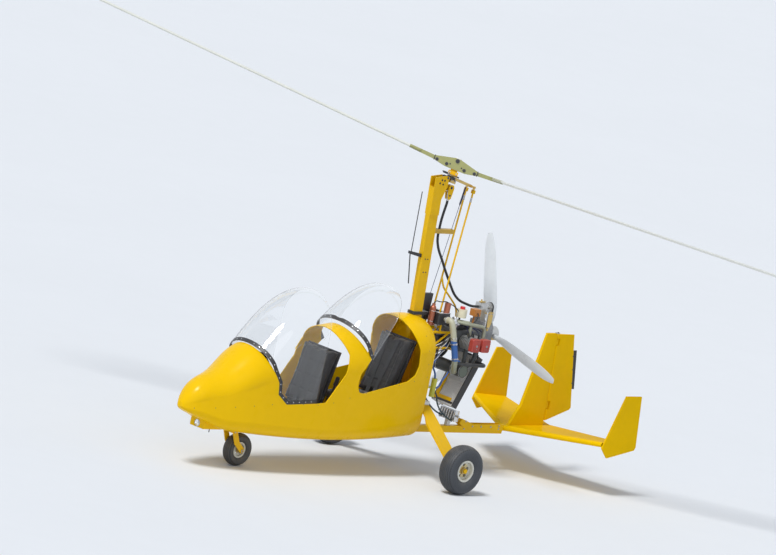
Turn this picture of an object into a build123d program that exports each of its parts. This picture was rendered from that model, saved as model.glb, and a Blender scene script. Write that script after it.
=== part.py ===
from build123d import *
from math import cos, hypot, radians, sin, tan
import os

os.makedirs("parts", exist_ok=True)

# Axes: +X to port, +Y aft, +Z up. The ground is z = 0 and the main axle stands over y = 0.

# Wheels
main_tyre_diameter = 430
main_tyre_width = 156
main_rim_diameter = 170
main_track = 1600
nose_tyre_diameter = 284
nose_tyre_width = 96
nose_rim_diameter = 118
nose_axle_y = -1906
nose_axle_radius = 9
nose_axle_bore = 6
wheel_running_gap = 6
steer_y = -2035
steer_stem_radius = 14
steer_hole_radius = 40
shaft_clearance = 0.05

# Keel and mast
keel_bottom = 336
keel_height = 60
keel_width = 50
keel_wall = 4
keel_front = -2010
keel_rear = 1236
mast_depth = 105
mast_width = 50
mast_wall = 4
mast_lean = 3.8
mast_foot_y = -44
mast_top = 2500

# Rotor head and rotor
rotor_radius = 4125
rotor_axis_tilt = 14.75
rotor_turn = 42.3
rotor_coning = 3.2
hub_point = (0, 12, 2723)
blade_chord = 200
blade_thickness = 26
hub_bar_length = 384
hub_plate = 12
hub_gap = 34
undersling = 50

# Propeller
prop_point = (0, 859, 1225)
prop_radius = 865
prop_blade_count = 3
prop_first_blade = -16.6
prop_hub_radius = 62

# Pod
pod_wall = 8
glass = 4
trim_thickness = 3
seam_gap = 0.3
mast_slot_gap = 5

# Tail
stabiliser_half_span = 800
stabiliser_wall = 4
rudder_gap = 6

PORT = 1
STARBOARD = -1


def side_block(points, half_width, mode=Mode.ADD, middle=0):
    """Extrude a side-view outline, given as (y, z) points, across the aircraft."""
    with BuildSketch(Plane.YZ.offset(middle)) as outline:
        with BuildLine():
            Polyline(*points, close=True)
        make_face()
    extrude(outline.sketch, amount=half_width, both=True, mode=mode)


def rod(start, end, radius, mode=Mode.ADD):
    """A round bar between two points."""
    run = Vector(end) - Vector(start)
    with BuildSketch(Plane(origin=start, z_dir=run)) as section:
        Circle(radius)
    extrude(section.sketch, amount=run.length, mode=mode)


def bent_tube(points, radii, radius):
    """A round tube along straight runs joined by arcs."""
    with BuildLine() as path:
        FilletPolyline(*points, radius=radii)
    with BuildSketch(Plane(origin=points[0], z_dir=path.line % 0)) as section:
        Circle(radius)
    sweep(section.sketch, path=path.line)


def bend_radii(points):
    """Arc radius at each bend, as wide as the shorter run beside it allows."""
    radii = []
    for before, here, after in zip(points, points[1:], points[2:]):
        run_in = Vector(*here) - Vector(*before)
        run_out = Vector(*after) - Vector(*here)
        half_turn = radians(run_in.get_angle(run_out)) / 2
        radii.append(0.45 * min(run_in.length, run_out.length) / tan(half_turn))
    return radii


def hose(points, radius):
    bent_tube(points, bend_radii(points), radius)


keel_top = keel_bottom + keel_height


def mast_y(z):
    """The mast's centre line at a height."""
    return mast_foot_y - (z - keel_top) * tan(radians(mast_lean))


def mast_rear(z):
    return mast_y(z) + mast_depth / 2 / cos(radians(mast_lean))


def mast_front(z):
    return mast_y(z) - mast_depth / 2 / cos(radians(mast_lean))


# Pod shell, lofted through upright sections
pod_sections = (
    # station y, floor z, floor half width, side half width, shoulder z, crown z
    (-2690, 505, 14, 26, 528, 548),
    (-2640, 470, 40, 78, 550, 640),
    (-2480, 415, 80, 150, 605, 775),
    (-2300, 352, 110, 205, 668, 868),
    (-2150, 330, 130, 240, 715, 1000),
    (-2000, 322, 150, 268, 775, 1085),
    (-1650, 308, 190, 302, 840, 1140),
    (-1250, 300, 215, 325, 915, 1215),
    (-850, 303, 215, 328, 960, 1285),
    (-450, 314, 180, 318, 1030, 1345),
    (-50, 326, 110, 272, 1090, 1345),
)
corner_ratio = 1.2
corner_bulge = 0.29


def pod_loft(inset):
    """Loft the pod's sections, each pulled in all round by the inset."""
    faces = []
    for station, floor, floor_half, side_half, shoulder, crown in pod_sections:
        low = floor + inset
        wide = side_half - inset
        corner = (side_half - floor_half) * corner_ratio
        with BuildSketch(Plane.XZ.offset(-station)) as section:
            with BuildLine():
                Line((-floor_half, low), (floor_half, low))
                ThreePointArc(
                    (floor_half, low),
                    (wide - (wide - floor_half) * corner_bulge, low + corner * corner_bulge),
                    (wide, low + corner),
                )
                Line((wide, low + corner), (wide, shoulder))
                ThreePointArc((wide, shoulder), (0, crown - inset), (-wide, shoulder))
                Line((-wide, shoulder), (-wide, low + corner))
                ThreePointArc(
                    (-wide, low + corner),
                    (-wide + (wide - floor_half) * corner_bulge, low + corner * corner_bulge),
                    (-floor_half, low),
                )
            make_face()
        faces.append(section.sketch.face())
    loft(faces)


# Side-view outlines, as (y, z) points
front_screen_base = ((-2068, 1085), (-1862, 800), (-1845, 700), (-1735, 618), (-1395, 636))
mid_cowl_front = ((-1298, 648), (-1130, 900), (-1099, 1062), (-1150, 1178), (-1200, 1400))
rear_screen_base = ((-1046, 1300), (-855, 1037))
rear_opening_rest = (
    (-955, 900), (-960, 800), (-930, 748), (-870, 738), (-360, 850), (-275, 905), (-247, 984),
    (-265, 1120), (-330, 1260), (-420, 1450),
)
seam_line = (
    (-2800, 497), (-1800, 652), (-1735, 627), (-1395, 646), (-1298, 657), (-940, 751), (-360, 868),
    (0, 940),
)

nose_solid = 60
pod_rear = pod_sections[-1][0]
pod_front = pod_sections[0][0]

with BuildPart() as pod_hollow:
    pod_loft(pod_wall)
    side_block(
        (
            (pod_front + nose_solid, 0), (pod_rear - pod_wall, 0),
            (pod_rear - pod_wall, 2000), (pod_front + nose_solid, 2000),
        ),
        500, Mode.INTERSECT,
    )

with BuildPart() as pod_shell:
    pod_loft(0)
    add(pod_hollow.part, mode=Mode.SUBTRACT)
    side_block(front_screen_base + mid_cowl_front + ((-2068, 1400),), 500, Mode.SUBTRACT)
    side_block(rear_screen_base + rear_opening_rest + ((-1046, 1450),), 500, Mode.SUBTRACT)
    side_block(
        (
            (mast_front(328) - mast_slot_gap, 328), (0, 328), (0, 1500),
            (mast_front(1500) - mast_slot_gap, 1500),
        ),
        mast_width / 2 + mast_slot_gap, Mode.SUBTRACT,
    )

below_seam = seam_line + ((0, 200), (-2800, 200))
above_seam = seam_line + ((0, 1500), (-2800, 1500))

chin_half_width = 82
chin_front = -2443
chin_bottom = 331
lamp_radius = 29
lamp_z = 366

keel_saddles = (
    # station y, foot z
    (-1450, 306),
    (-850, 306),
    (-450, 318),
)
saddle_half_width = 45

with BuildPart() as fuselage_tub:
    add(pod_shell.part)
    side_block(below_seam, 500, Mode.INTERSECT)
    with BuildSketch(Plane.XZ.offset(-chin_front)):
        with Locations((0, (chin_bottom + 440) / 2)):
            Rectangle(2 * chin_half_width, 440 - chin_bottom)
    extrude(amount=-220)
    add(pod_hollow.part, mode=Mode.SUBTRACT)
    for station, foot in keel_saddles:
        side_block(
            (
                (station - 40, foot), (station + 40, foot),
                (station + 40, keel_bottom - seam_gap), (station - 40, keel_bottom - seam_gap),
            ),
            saddle_half_width,
        )
    with BuildSketch(Plane.XZ.offset(-chin_front)):
        with Locations((0, lamp_z)):
            Circle(lamp_radius + 2)
    extrude(amount=-26, mode=Mode.SUBTRACT)
    with BuildSketch():
        with Locations((0, steer_y)):
            Circle(steer_hole_radius)
    extrude(amount=keel_bottom, mode=Mode.SUBTRACT)
fuselage_tub.part.label = "fuselage_tub"
export_step(fuselage_tub.part, "parts/fuselage_tub.step")

with BuildPart() as nose_cowl:
    add(pod_shell.part)
    side_block(above_seam, 500, Mode.INTERSECT)
    side_block(((-2800, 300), (-1750, 300), (-1750, 1500), (-2800, 1500)), 500, Mode.INTERSECT)
nose_cowl.part.label = "nose_cowl"
export_step(nose_cowl.part, "parts/nose_cowl.step")

with BuildPart() as mid_cowl:
    add(pod_shell.part)
    side_block(above_seam, 500, Mode.INTERSECT)
    side_block(((-1400, 300), (-700, 300), (-700, 1500), (-1400, 1500)), 500, Mode.INTERSECT)
mid_cowl.part.label = "mid_cowl"
export_step(mid_cowl.part, "parts/mid_cowl.step")

with BuildPart() as rear_cowl:
    add(pod_shell.part)
    side_block(above_seam, 500, Mode.INTERSECT)
    side_block(((-700, 300), (0, 300), (0, 1500), (-700, 1500)), 500, Mode.INTERSECT)
rear_cowl.part.label = "rear_cowl"
export_step(rear_cowl.part, "parts/rear_cowl.step")


# Windshields, lofted arches cut to their base lines
front_screen_arches = (
    # station y, half width, shoulder z, crown z
    (-2090, 249, 735, 1042),
    (-1900, 278, 960, 1272),
    (-1700, 296, 1150, 1462),
    (-1540, 303, 1235, 1545),
    (-1380, 303, 1250, 1552),
)
rear_screen_arches = (
    (-1066, 326, 935, 1262),
    (-930, 318, 1100, 1425),
    (-760, 304, 1250, 1562),
    (-600, 292, 1325, 1622),
    (-470, 280, 1300, 1592),
)
screen_foot = 560


def arch_loft(arches, inset, mode):
    """Loft upright arches that stand on a common foot, pulled in by the inset."""
    faces = []
    for station, half, shoulder, crown in arches:
        wide = half - inset
        with BuildSketch(Plane.XZ.offset(-station)) as section:
            with BuildLine():
                Line((-wide, screen_foot + inset), (wide, screen_foot + inset))
                Line((wide, screen_foot + inset), (wide, shoulder))
                ThreePointArc((wide, shoulder), (0, crown - inset), (-wide, shoulder))
                Line((-wide, shoulder), (-wide, screen_foot + inset))
            make_face()
        faces.append(section.sketch.face())
    loft(faces, mode=mode)


front_screen_edge = (
    (-2041, 1104), (-1831, 813), (-1813, 712), (-1722, 650), (-1395, 670),
)
rear_screen_edge = ((-1020, 1322), (-828, 1058))
front_glass_region = front_screen_base + ((-1395, 1800), (-2300, 1800), (-2300, 1085))
rear_glass_region = rear_screen_base + ((-822, 1037), (-476, 1620), (-476, 1800), (-1400, 1800), (-1400, 1300))

with BuildPart() as front_windshield:
    arch_loft(front_screen_arches, 0, Mode.ADD)
    arch_loft(front_screen_arches, glass, Mode.SUBTRACT)
    side_block(front_glass_region, 500, Mode.INTERSECT)
front_windshield.part.label = "front_windshield"
export_step(front_windshield.part, "parts/front_windshield.step")

with BuildPart() as rear_windshield:
    arch_loft(rear_screen_arches, 0, Mode.ADD)
    arch_loft(rear_screen_arches, glass, Mode.SUBTRACT)
    side_block(rear_glass_region, 500, Mode.INTERSECT)
rear_windshield.part.label = "rear_windshield"
export_step(rear_windshield.part, "parts/rear_windshield.step")

with BuildPart() as front_trim:
    arch_loft(front_screen_arches, -trim_thickness, Mode.ADD)
    arch_loft(front_screen_arches, 0, Mode.SUBTRACT)
    side_block(front_screen_base + front_screen_edge[::-1], 500, Mode.INTERSECT)

with BuildPart() as rear_trim:
    arch_loft(rear_screen_arches, -trim_thickness, Mode.ADD)
    arch_loft(rear_screen_arches, 0, Mode.SUBTRACT)
    side_block(rear_screen_base + rear_screen_edge[::-1], 500, Mode.INTERSECT)

with BuildPart() as windshield_trims:
    add(front_trim.part)
    add(rear_trim.part)
windshield_trims.part.label = "windshield_trims"
export_step(windshield_trims.part, "parts/windshield_trims.step")


# Keel, with the steering head at its front end and gusset plates where the tail joins
steer_head_radius = 24
gusset_thickness = 6

with BuildPart() as keel:
    with BuildSketch(Plane.XZ.offset(-keel_front)):
        with Locations((0, keel_bottom + keel_height / 2)):
            Rectangle(keel_width, keel_height)
            Rectangle(keel_width - 2 * keel_wall, keel_height - 2 * keel_wall, mode=Mode.SUBTRACT)
    extrude(amount=keel_front - keel_rear)
    with BuildSketch(Plane.XZ.offset(-keel_rear)):
        with Locations((0, keel_bottom + keel_height / 2)):
            Rectangle(keel_width, keel_height)
    extrude(amount=keel_wall)
    with BuildSketch(Plane.XY.offset(keel_bottom)):
        with Locations((0, steer_y)):
            Circle(steer_head_radius)
        with Locations((0, (steer_y + keel_front) / 2)):
            Rectangle(2 * steer_head_radius, keel_front - steer_y)
    extrude(amount=keel_height)
    with BuildSketch(Plane.XY.offset(keel_bottom)):
        with Locations((0, steer_y)):
            Circle(steer_stem_radius + shaft_clearance)
    extrude(amount=keel_height, mode=Mode.SUBTRACT)
    for side in (PORT, STARBOARD):
        side_block(
            (
                (684, 421), (707, 463), (861, 415), (1143, 417), (1234, 417), (1234, 362), (945, 351),
                (757, 378),
            ),
            gusset_thickness / 2, middle=side * (keel_width / 2 + gusset_thickness / 2),
        )
keel.part.label = "keel"
export_step(keel.part, "parts/keel.step")

# Rotor head geometry: up is along the rotor's axis, aft is square to it
tilt = radians(rotor_axis_tilt)
head_up = Vector(0, sin(tilt), cos(tilt))
head_aft = Vector(0, cos(tilt), -sin(tilt))
hub = Vector(*hub_point)
roll_drop = 165
pivot_ahead = 67
pivot = hub - head_up * roll_drop - head_aft * pivot_ahead
head_pin_radius = 10
torque_bar_radius = 14


def in_head(across, aft, up):
    """A point given from the pitch pivot, square to the rotor's axis."""
    return pivot + Vector(across, 0, 0) + head_aft * aft + head_up * up


def head_plane(across, aft, up):
    return Plane(origin=in_head(across, aft, up), x_dir=(1, 0, 0), z_dir=head_up)


# Mast, a leaning box tube with cheek plates at its top
mast_plane = Plane(
    origin=(0, mast_foot_y, keel_top),
    x_dir=(1, 0, 0),
    z_dir=(0, -sin(radians(mast_lean)), cos(radians(mast_lean))),
)


cheek_thickness = 8
cheek_outline = (
    (mast_rear(2390), 2390),
    (pivot.Y + 14, 2500),
    (pivot.Y + 20, pivot.Z + 10),
    (pivot.Y - 20, pivot.Z + 16),
    (mast_y(2576) - mast_depth / 2, 2580),
    (mast_y(2250) - mast_depth / 2, 2250),
    (mast_rear(2250), 2250),
)
cheek_gap = mast_width / 2 + cheek_thickness

mast_foot_z = keel_top + 4

with BuildPart() as mast:
    with BuildSketch(mast_plane):
        Rectangle(mast_width, mast_depth)
        Rectangle(mast_width - 2 * mast_wall, mast_depth - 2 * mast_wall, mode=Mode.SUBTRACT)
    extrude(amount=(mast_top - keel_top) / cos(radians(mast_lean)))
    side_block(
        (
            (mast_foot_y - mast_depth, keel_top - 20), (mast_foot_y + mast_depth, keel_top - 20),
            (mast_foot_y + mast_depth, mast_foot_z), (mast_foot_y - mast_depth, mast_foot_z),
        ),
        mast_width, Mode.SUBTRACT,
    )
    for side in (PORT, STARBOARD):
        side_block(
            cheek_outline, cheek_thickness / 2,
            middle=side * (mast_width + cheek_thickness) / 2,
        )
    with BuildSketch(Plane.YZ.offset(-cheek_gap)):
        with Locations((pivot.Y, pivot.Z)):
            Circle(head_pin_radius + shaft_clearance)
    extrude(amount=2 * cheek_gap, mode=Mode.SUBTRACT)
mast.part.label = "mast"
export_step(mast.part, "parts/mast.step")

# Control rods, trim cable and the brackets that guide them
arm_reach = 338
arm_up = 18
arm_half_width = 14
arm_half_height = 12
cross_bar_radius = 9
rod_x = 44
rod_radius = 8
guide_y = 122
guide_z = 1205
guide_length = 60
arm_end = in_head(0, arm_reach, arm_up)
rod_line = (arm_end - Vector(0, guide_y, guide_z)).normalized()
cable_radius = 2.5
cable_low = Vector(0, 10, 1500)
cable_high = in_head(0, arm_reach - 58, arm_up - arm_half_height - 6)
cable_line = (cable_high - cable_low).normalized()
bracket_z = 2108
bracket_rear = 126
bracket_half_width = 22
bracket_half_height = 19
shaft_radius = 11
slide_gap = 0.3
collar_low = 1374
collar_high = 1400
collar_half_width = 37

with BuildPart() as mast_brackets:
    side_block(
        (
            (mast_rear(bracket_z - bracket_half_height), bracket_z - bracket_half_height),
            (bracket_rear, bracket_z - bracket_half_height),
            (bracket_rear, bracket_z + bracket_half_height),
            (mast_rear(bracket_z + bracket_half_height), bracket_z + bracket_half_height),
        ),
        bracket_half_width,
    )
    side_block(
        ((mast_rear(1420), 1420), (38, 1420), (44, 1560), (mast_rear(1560), 1560)),
        16,
    )
    side_block(
        (
            (mast_rear(guide_z - 10), guide_z - 10), (guide_y + 14, guide_z - 10),
            (guide_y + 14, guide_z + 10), (mast_rear(guide_z + 10), guide_z + 10),
        ),
        rod_x + 14,
    )
    side_block(
        ((-173, collar_low), (15, collar_low), (15, collar_high), (-173, collar_high)),
        collar_half_width,
    )
    with BuildSketch(mast_plane):
        Rectangle(mast_width + 2 * seam_gap, mast_depth + 2 * seam_gap)
    extrude(amount=collar_high + 20 - keel_top, mode=Mode.SUBTRACT)
    for side in (PORT, STARBOARD):
        foot = Vector(side * rod_x, guide_y, guide_z)
        rod(foot - rod_line * guide_length / 2, foot + rod_line * guide_length / 2, rod_radius + 6)
    for side in (PORT, STARBOARD):
        foot = Vector(side * rod_x, guide_y, guide_z)
        with BuildSketch(Plane(origin=foot - rod_line * guide_length, z_dir=rod_line)):
            Circle(rod_radius + slide_gap)
        extrude(amount=2 * guide_length, mode=Mode.SUBTRACT)
    with BuildSketch(Plane(origin=cable_low - cable_line * 300, z_dir=cable_line)):
        Circle(cable_radius + slide_gap)
    extrude(amount=420, mode=Mode.SUBTRACT)
    with BuildSketch(Plane(origin=cable_low + cable_line * 500, z_dir=cable_line)):
        Circle(cable_radius + 8)
    extrude(amount=200, mode=Mode.SUBTRACT)
    with BuildSketch(Plane.XY.offset(bracket_z - 2 * bracket_half_height)):
        with Locations((0, -38)):
            Circle(shaft_radius + seam_gap)
    extrude(amount=4 * bracket_half_height, mode=Mode.SUBTRACT)
mast_brackets.part.label = "mast_brackets"
export_step(mast_brackets.part, "parts/mast_brackets.step")

fork_gap = 6
roll_room = 8
ear_half = 4
ear_drop = 34
fork_cheek = 4
fork_half_depth = 13

with BuildPart() as pushrods:
    for side in (PORT, STARBOARD):
        top = Vector(side * rod_x, arm_end.Y, arm_end.Z)
        web = top - rod_line * (ear_drop + 2 * fork_gap)
        rod(Vector(side * rod_x, guide_y, guide_z) - rod_line * 120, web, rod_radius)
        fork_plane = Plane(origin=web, x_dir=(1, 0, 0), z_dir=rod_line)
        inner = ear_half + fork_gap
        with BuildSketch(fork_plane):
            Rectangle(2 * (inner + fork_cheek), 2 * fork_half_depth)
        extrude(amount=-8)
        with BuildSketch(fork_plane):
            with Locations((inner + fork_cheek / 2, 0), (-inner - fork_cheek / 2, 0)):
                Rectangle(fork_cheek, 2 * fork_half_depth)
        extrude(amount=ear_drop + fork_gap - cross_bar_radius - roll_room)
pushrods.part.label = "pushrods"
export_step(pushrods.part, "parts/pushrods.step")

spring_length = 140
spring_radius = 9
with BuildPart() as trim_spring:
    rod(cable_low - cable_line * 90, cable_high, cable_radius)
    rod(cable_high - cable_line * (spring_length + 20), cable_high - cable_line * 20, spring_radius)
trim_spring.part.label = "trim_spring"
export_step(trim_spring.part, "parts/trim_spring.step")

# Pitch yoke: a barrel between the mast's cheeks and the fore-and-aft torque bar
barrel_radius = 17
block_front = 44
block_rear = 112
block_half_width = 30
block_half_height = 26
bar_end = 98
with BuildPart() as head_yoke:
    rod(in_head(-mast_width / 2 + 1, 0, 0), in_head(mast_width / 2 - 1, 0, 0), barrel_radius)
    rod(in_head(-cheek_gap - 4, 0, 0), in_head(cheek_gap + 4, 0, 0), head_pin_radius)
    rod(in_head(0, 0, 0), in_head(0, bar_end, 0), torque_bar_radius)
head_yoke.part.label = "head_yoke"
export_step(head_yoke.part, "parts/head_yoke.step")

# Roll block with the control arm and the rotor's spindle
spindle_radius = 16
spindle_top = roll_drop - 100
with BuildPart() as head_block:
    with BuildSketch(head_plane(0, (block_front + block_rear) / 2, -block_half_height)):
        Rectangle(2 * block_half_width, block_rear - block_front)
    extrude(amount=2 * block_half_height)
    with BuildSketch(head_plane(0, (block_rear + arm_reach) / 2, arm_up - arm_half_height)):
        Rectangle(2 * arm_half_width, arm_reach - block_rear)
    extrude(amount=2 * arm_half_height)
    rod(
        in_head(-rod_x - 10, arm_reach, arm_up), in_head(rod_x + 10, arm_reach, arm_up),
        cross_bar_radius,
    )
    for side in (PORT, STARBOARD):
        with BuildSketch(head_plane(side * rod_x, arm_reach, arm_up - ear_drop)):
            Rectangle(2 * ear_half, 20)
        extrude(amount=ear_drop)
    rod(in_head(0, pivot_ahead, 0), in_head(0, pivot_ahead, spindle_top), spindle_radius)
    with BuildSketch(Plane(origin=in_head(0, 0, 0), z_dir=head_aft)):
        Circle(torque_bar_radius + shaft_clearance)
    extrude(amount=bar_end + 1, mode=Mode.SUBTRACT)
head_block.part.label = "head_block"
export_step(head_block.part, "parts/head_block.step")

# Rotor: span, chord and axis directions
turn = radians(rotor_turn)
span = Vector(cos(turn), 0, 0) + head_aft * sin(turn)
chord = head_up.cross(span)

gear_radius = 62
gear_low = 133
gear_high = 122
block_high = 92
tongue_half = 30
tongue_top = 22
hub_slot = 48
bolt_radius = 9


def rotor_plane(drop):
    return Plane(origin=hub - head_up * drop, x_dir=span, z_dir=head_up)


with BuildPart() as rotor_tower:
    with BuildSketch(rotor_plane(gear_low)):
        Circle(gear_radius)
    extrude(amount=gear_low - gear_high)
    with BuildSketch(rotor_plane(gear_high)):
        Rectangle(88, 60)
    extrude(amount=gear_high - block_high)
    with BuildSketch(rotor_plane(block_high)):
        Rectangle(2 * tongue_half, hub_gap - 4)
    extrude(amount=block_high + tongue_top)
    with BuildSketch(rotor_plane(gear_low)):
        Circle(spindle_radius + shaft_clearance)
    extrude(amount=gear_low - 99, mode=Mode.SUBTRACT)
    with BuildSketch(Plane(origin=hub - chord * 40, z_dir=chord)):
        Circle(bolt_radius + shaft_clearance)
    extrude(amount=80, mode=Mode.SUBTRACT)
rotor_tower.part.label = "rotor_tower"
export_step(rotor_tower.part, "parts/rotor_tower.step")

hub_half = hub_bar_length / 2
hub_side_plane = Plane(origin=hub, x_dir=span, z_dir=-chord)
root_start = 112
with BuildPart() as hub_bar:
    with BuildSketch(hub_side_plane):
        with BuildLine():
            Polyline(
                (-hub_half, -58), (-hub_half, -20), (-26, 20), (26, 20),
                (hub_half, -20), (hub_half, -58), (90, -78), (-90, -78), close=True,
            )
        make_face()
    extrude(amount=hub_gap / 2 + hub_plate, both=True)
    with BuildSketch(hub_side_plane):
        Rectangle(2 * hub_slot, 400)
        with Locations((-(root_start + 200), 0), (root_start + 200, 0)):
            Rectangle(400, 400)
    extrude(amount=hub_gap / 2, both=True, mode=Mode.SUBTRACT)
    rod(
        hub - chord * (hub_gap / 2 + hub_plate + 8), hub + chord * (hub_gap / 2 + hub_plate + 8),
        bolt_radius,
    )
hub_bar.part.label = "hub_bar"
export_step(hub_bar.part, "parts/hub_bar.step")

# Blades, coned up a little from the hub bar
blade_start = 330
root_end = 430
coning = radians(rotor_coning)
with BuildPart() as rotor_blades:
    for way in (1, -1):
        out = span * way * cos(coning) + head_up * sin(coning)
        lead = chord * way
        root = hub - head_up * undersling
        with BuildSketch(Plane(origin=root + out * blade_start, x_dir=lead, z_dir=out)) as airfoil:
            with BuildLine():
                nose = ThreePointArc(
                    (blade_chord * 0.22, -blade_thickness * 0.36), (blade_chord * 0.25, 0),
                    (blade_chord * 0.22, blade_thickness * 0.4),
                )
                ThreePointArc(
                    nose @ 1, (-blade_chord * 0.1, blade_thickness * 0.5), (-blade_chord * 0.75, 1)
                )
                Line((-blade_chord * 0.75, 1), (-blade_chord * 0.75, -1))
                ThreePointArc(
                    (-blade_chord * 0.75, -1), (-blade_chord * 0.1, -blade_thickness * 0.42), nose @ 0
                )
            make_face()
        extrude(airfoil.sketch, amount=rotor_radius - blade_start)
        root_width = hub_gap - 2 * seam_gap
        with BuildSketch(
            Plane(origin=root + out * (root_start + 4), x_dir=lead, z_dir=out)
        ) as inner_root:
            Rectangle(root_width, 36)
        with BuildSketch(Plane(origin=root + out * root_end, x_dir=lead, z_dir=out)) as outer_root:
            Rectangle(root_width, blade_thickness + 2)
        loft([inner_root.sketch.face(), outer_root.sketch.face()])
rotor_blades.part.label = "rotor_blades"
export_step(rotor_blades.part, "parts/rotor_blades.step")

# Propeller hub and blades
prop = Vector(*prop_point)
gearbox_rear = 800
prop_hub_front = gearbox_rear + 6
prop_hub_rear = 902
prop_shaft_radius = 20
blade_root_radius = 24
blade_root_start = 30
with BuildPart() as prop_hub:
    rod((0, prop_hub_front, prop.Z), (0, prop_hub_rear, prop.Z), prop_hub_radius)
    rod((0, gearbox_rear - 60, prop.Z), (0, prop_hub_front, prop.Z), prop_shaft_radius)
    for index in range(prop_blade_count):
        angle = radians(prop_first_blade + index * 360 / prop_blade_count)
        out = Vector(sin(angle), 0, cos(angle))
        with BuildSketch(Plane(origin=prop + out * blade_root_start, z_dir=out)):
            Circle(blade_root_radius + seam_gap)
        extrude(amount=prop_hub_radius, mode=Mode.SUBTRACT)
prop_hub.part.label = "prop_hub"
export_step(prop_hub.part, "parts/prop_hub.step")

prop_blade_sections = (
    # radius, chord, thickness, pitch angle
    (100, 58, 46, 40),
    (250, 118, 26, 29),
    (500, 116, 17, 20),
    (760, 92, 11, 15),
    (prop_radius, 44, 6, 13),
)
with BuildPart() as prop_blades:
    for index in range(prop_blade_count):
        angle = radians(prop_first_blade + index * 360 / prop_blade_count)
        out = Vector(sin(angle), 0, cos(angle))
        along = Vector(cos(angle), 0, -sin(angle))
        rod(prop + out * (blade_root_start + seam_gap), prop + out * 110, blade_root_radius - 2)
        faces = []
        for radius, width, thick, pitch in prop_blade_sections:
            across = along * cos(radians(pitch)) + Vector(0, 1, 0) * sin(radians(pitch))
            with BuildSketch(Plane(origin=prop + out * radius, x_dir=across, z_dir=out)) as section:
                with BuildLine():
                    ThreePointArc((-width / 2, 0), (-width * 0.1, thick / 2), (width / 2, 1))
                    Line((width / 2, 1), (width / 2, -1))
                    ThreePointArc((width / 2, -1), (-width * 0.1, -thick / 2), (-width / 2, 0))
                make_face()
            faces.append(section.sketch.face())
        loft(faces)
prop_blades.part.label = "prop_blades"
export_step(prop_blades.part, "parts/prop_blades.step")

# Engine: crankcase with four barrels, cam covers and reduction gearbox
engine_front = 330
engine_rear = 660
engine_half_width = 110
engine_bottom = 1080
engine_top = 1260
barrel_stations = (422, 543)
barrel_z = 1172
barrel_radius_engine = 50
barrel_end = 238
with BuildPart() as engine_block:
    side_block(
        (
            (engine_front, engine_bottom), (engine_rear, engine_bottom),
            (engine_rear, engine_top), (engine_front, engine_top),
        ),
        engine_half_width,
    )
    for side in (PORT, STARBOARD):
        for station in barrel_stations:
            rod(
                (side * (engine_half_width - 5), station, barrel_z),
                (side * barrel_end, station, barrel_z), barrel_radius_engine,
            )
engine_block.part.label = "engine_block"
export_step(engine_block.part, "parts/engine_block.step")

cover_depth = 46
with BuildPart() as rocker_covers:
    for side in (PORT, STARBOARD):
        for station in barrel_stations:
            face = side * (barrel_end + seam_gap)
            with BuildSketch(Plane.YZ.offset(face)):
                with Locations((station, barrel_z)):
                    RectangleRounded(96, 114, 16)
            extrude(amount=side * cover_depth)
    outer_edges = rocker_covers.part.edges().filter_by_position(
        Axis.X, barrel_end + cover_depth - 1, barrel_end + cover_depth + 2,
    ) + rocker_covers.part.edges().filter_by_position(
        Axis.X, -barrel_end - cover_depth - 2, -barrel_end - cover_depth + 1,
    )
    fillet(outer_edges, 9)
rocker_covers.part.label = "rocker_covers"
export_step(rocker_covers.part, "parts/rocker_covers.step")

gearbox_front = engine_rear + seam_gap
gearbox_top = 1335
with BuildPart() as gearbox:
    side_block(
        (
            (gearbox_front, 1110), (gearbox_rear, 1130), (gearbox_rear, 1290), (770, gearbox_top),
            (gearbox_front, gearbox_top),
        ),
        80,
    )
    with BuildSketch(Plane.XZ.offset(-gearbox_rear)):
        with Locations((0, prop.Z)):
            Circle(prop_shaft_radius + shaft_clearance)
    extrude(amount=62, mode=Mode.SUBTRACT)
gearbox.part.label = "gearbox"
export_step(gearbox.part, "parts/gearbox.step")

# Airbox, notched round the control rods, and its pipes
airbox_front = 60
airbox_rear = 200
airbox_low = 1310
airbox_high = 1410
airbox_half_width = 120
with BuildPart() as airbox:
    side_block(
        (
            (airbox_front, airbox_low), (airbox_rear, airbox_low),
            (airbox_rear, airbox_high), (airbox_front, airbox_high),
        ),
        airbox_half_width,
    )
    fillet(airbox.part.edges().filter_by(Axis.Z), 14)
    side_block(((0, 1200), (164, 1200), (164, 1500), (0, 1500)), rod_x + 20, Mode.SUBTRACT)
airbox.part.label = "airbox"
export_step(airbox.part, "parts/airbox.step")

with BuildPart() as air_canister:
    rod((92, 168, airbox_high + seam_gap), (92, 168, 1500), 27)
air_canister.part.label = "air_canister"
export_step(air_canister.part, "parts/air_canister.step")

barrel_top = barrel_z + barrel_radius_engine
pipe_z = 1345
with BuildPart() as intake_pipes:
    for side in (PORT, STARBOARD):
        for start_x, bend_y, turn_y, end_x, station in (
            (82, 290, 400, 170, barrel_stations[0]),
            (104, 250, 370, 222, barrel_stations[1]),
        ):
            hose(
                (
                    (side * start_x, airbox_rear + seam_gap, pipe_z), (side * start_x, bend_y, pipe_z),
                    (side * end_x, turn_y, pipe_z), (side * end_x, station, pipe_z - 20),
                    (side * end_x, station, barrel_top + seam_gap),
                ),
                16,
            )
intake_pipes.part.label = "intake_pipes"
export_step(intake_pipes.part, "parts/intake_pipes.step")

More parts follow.
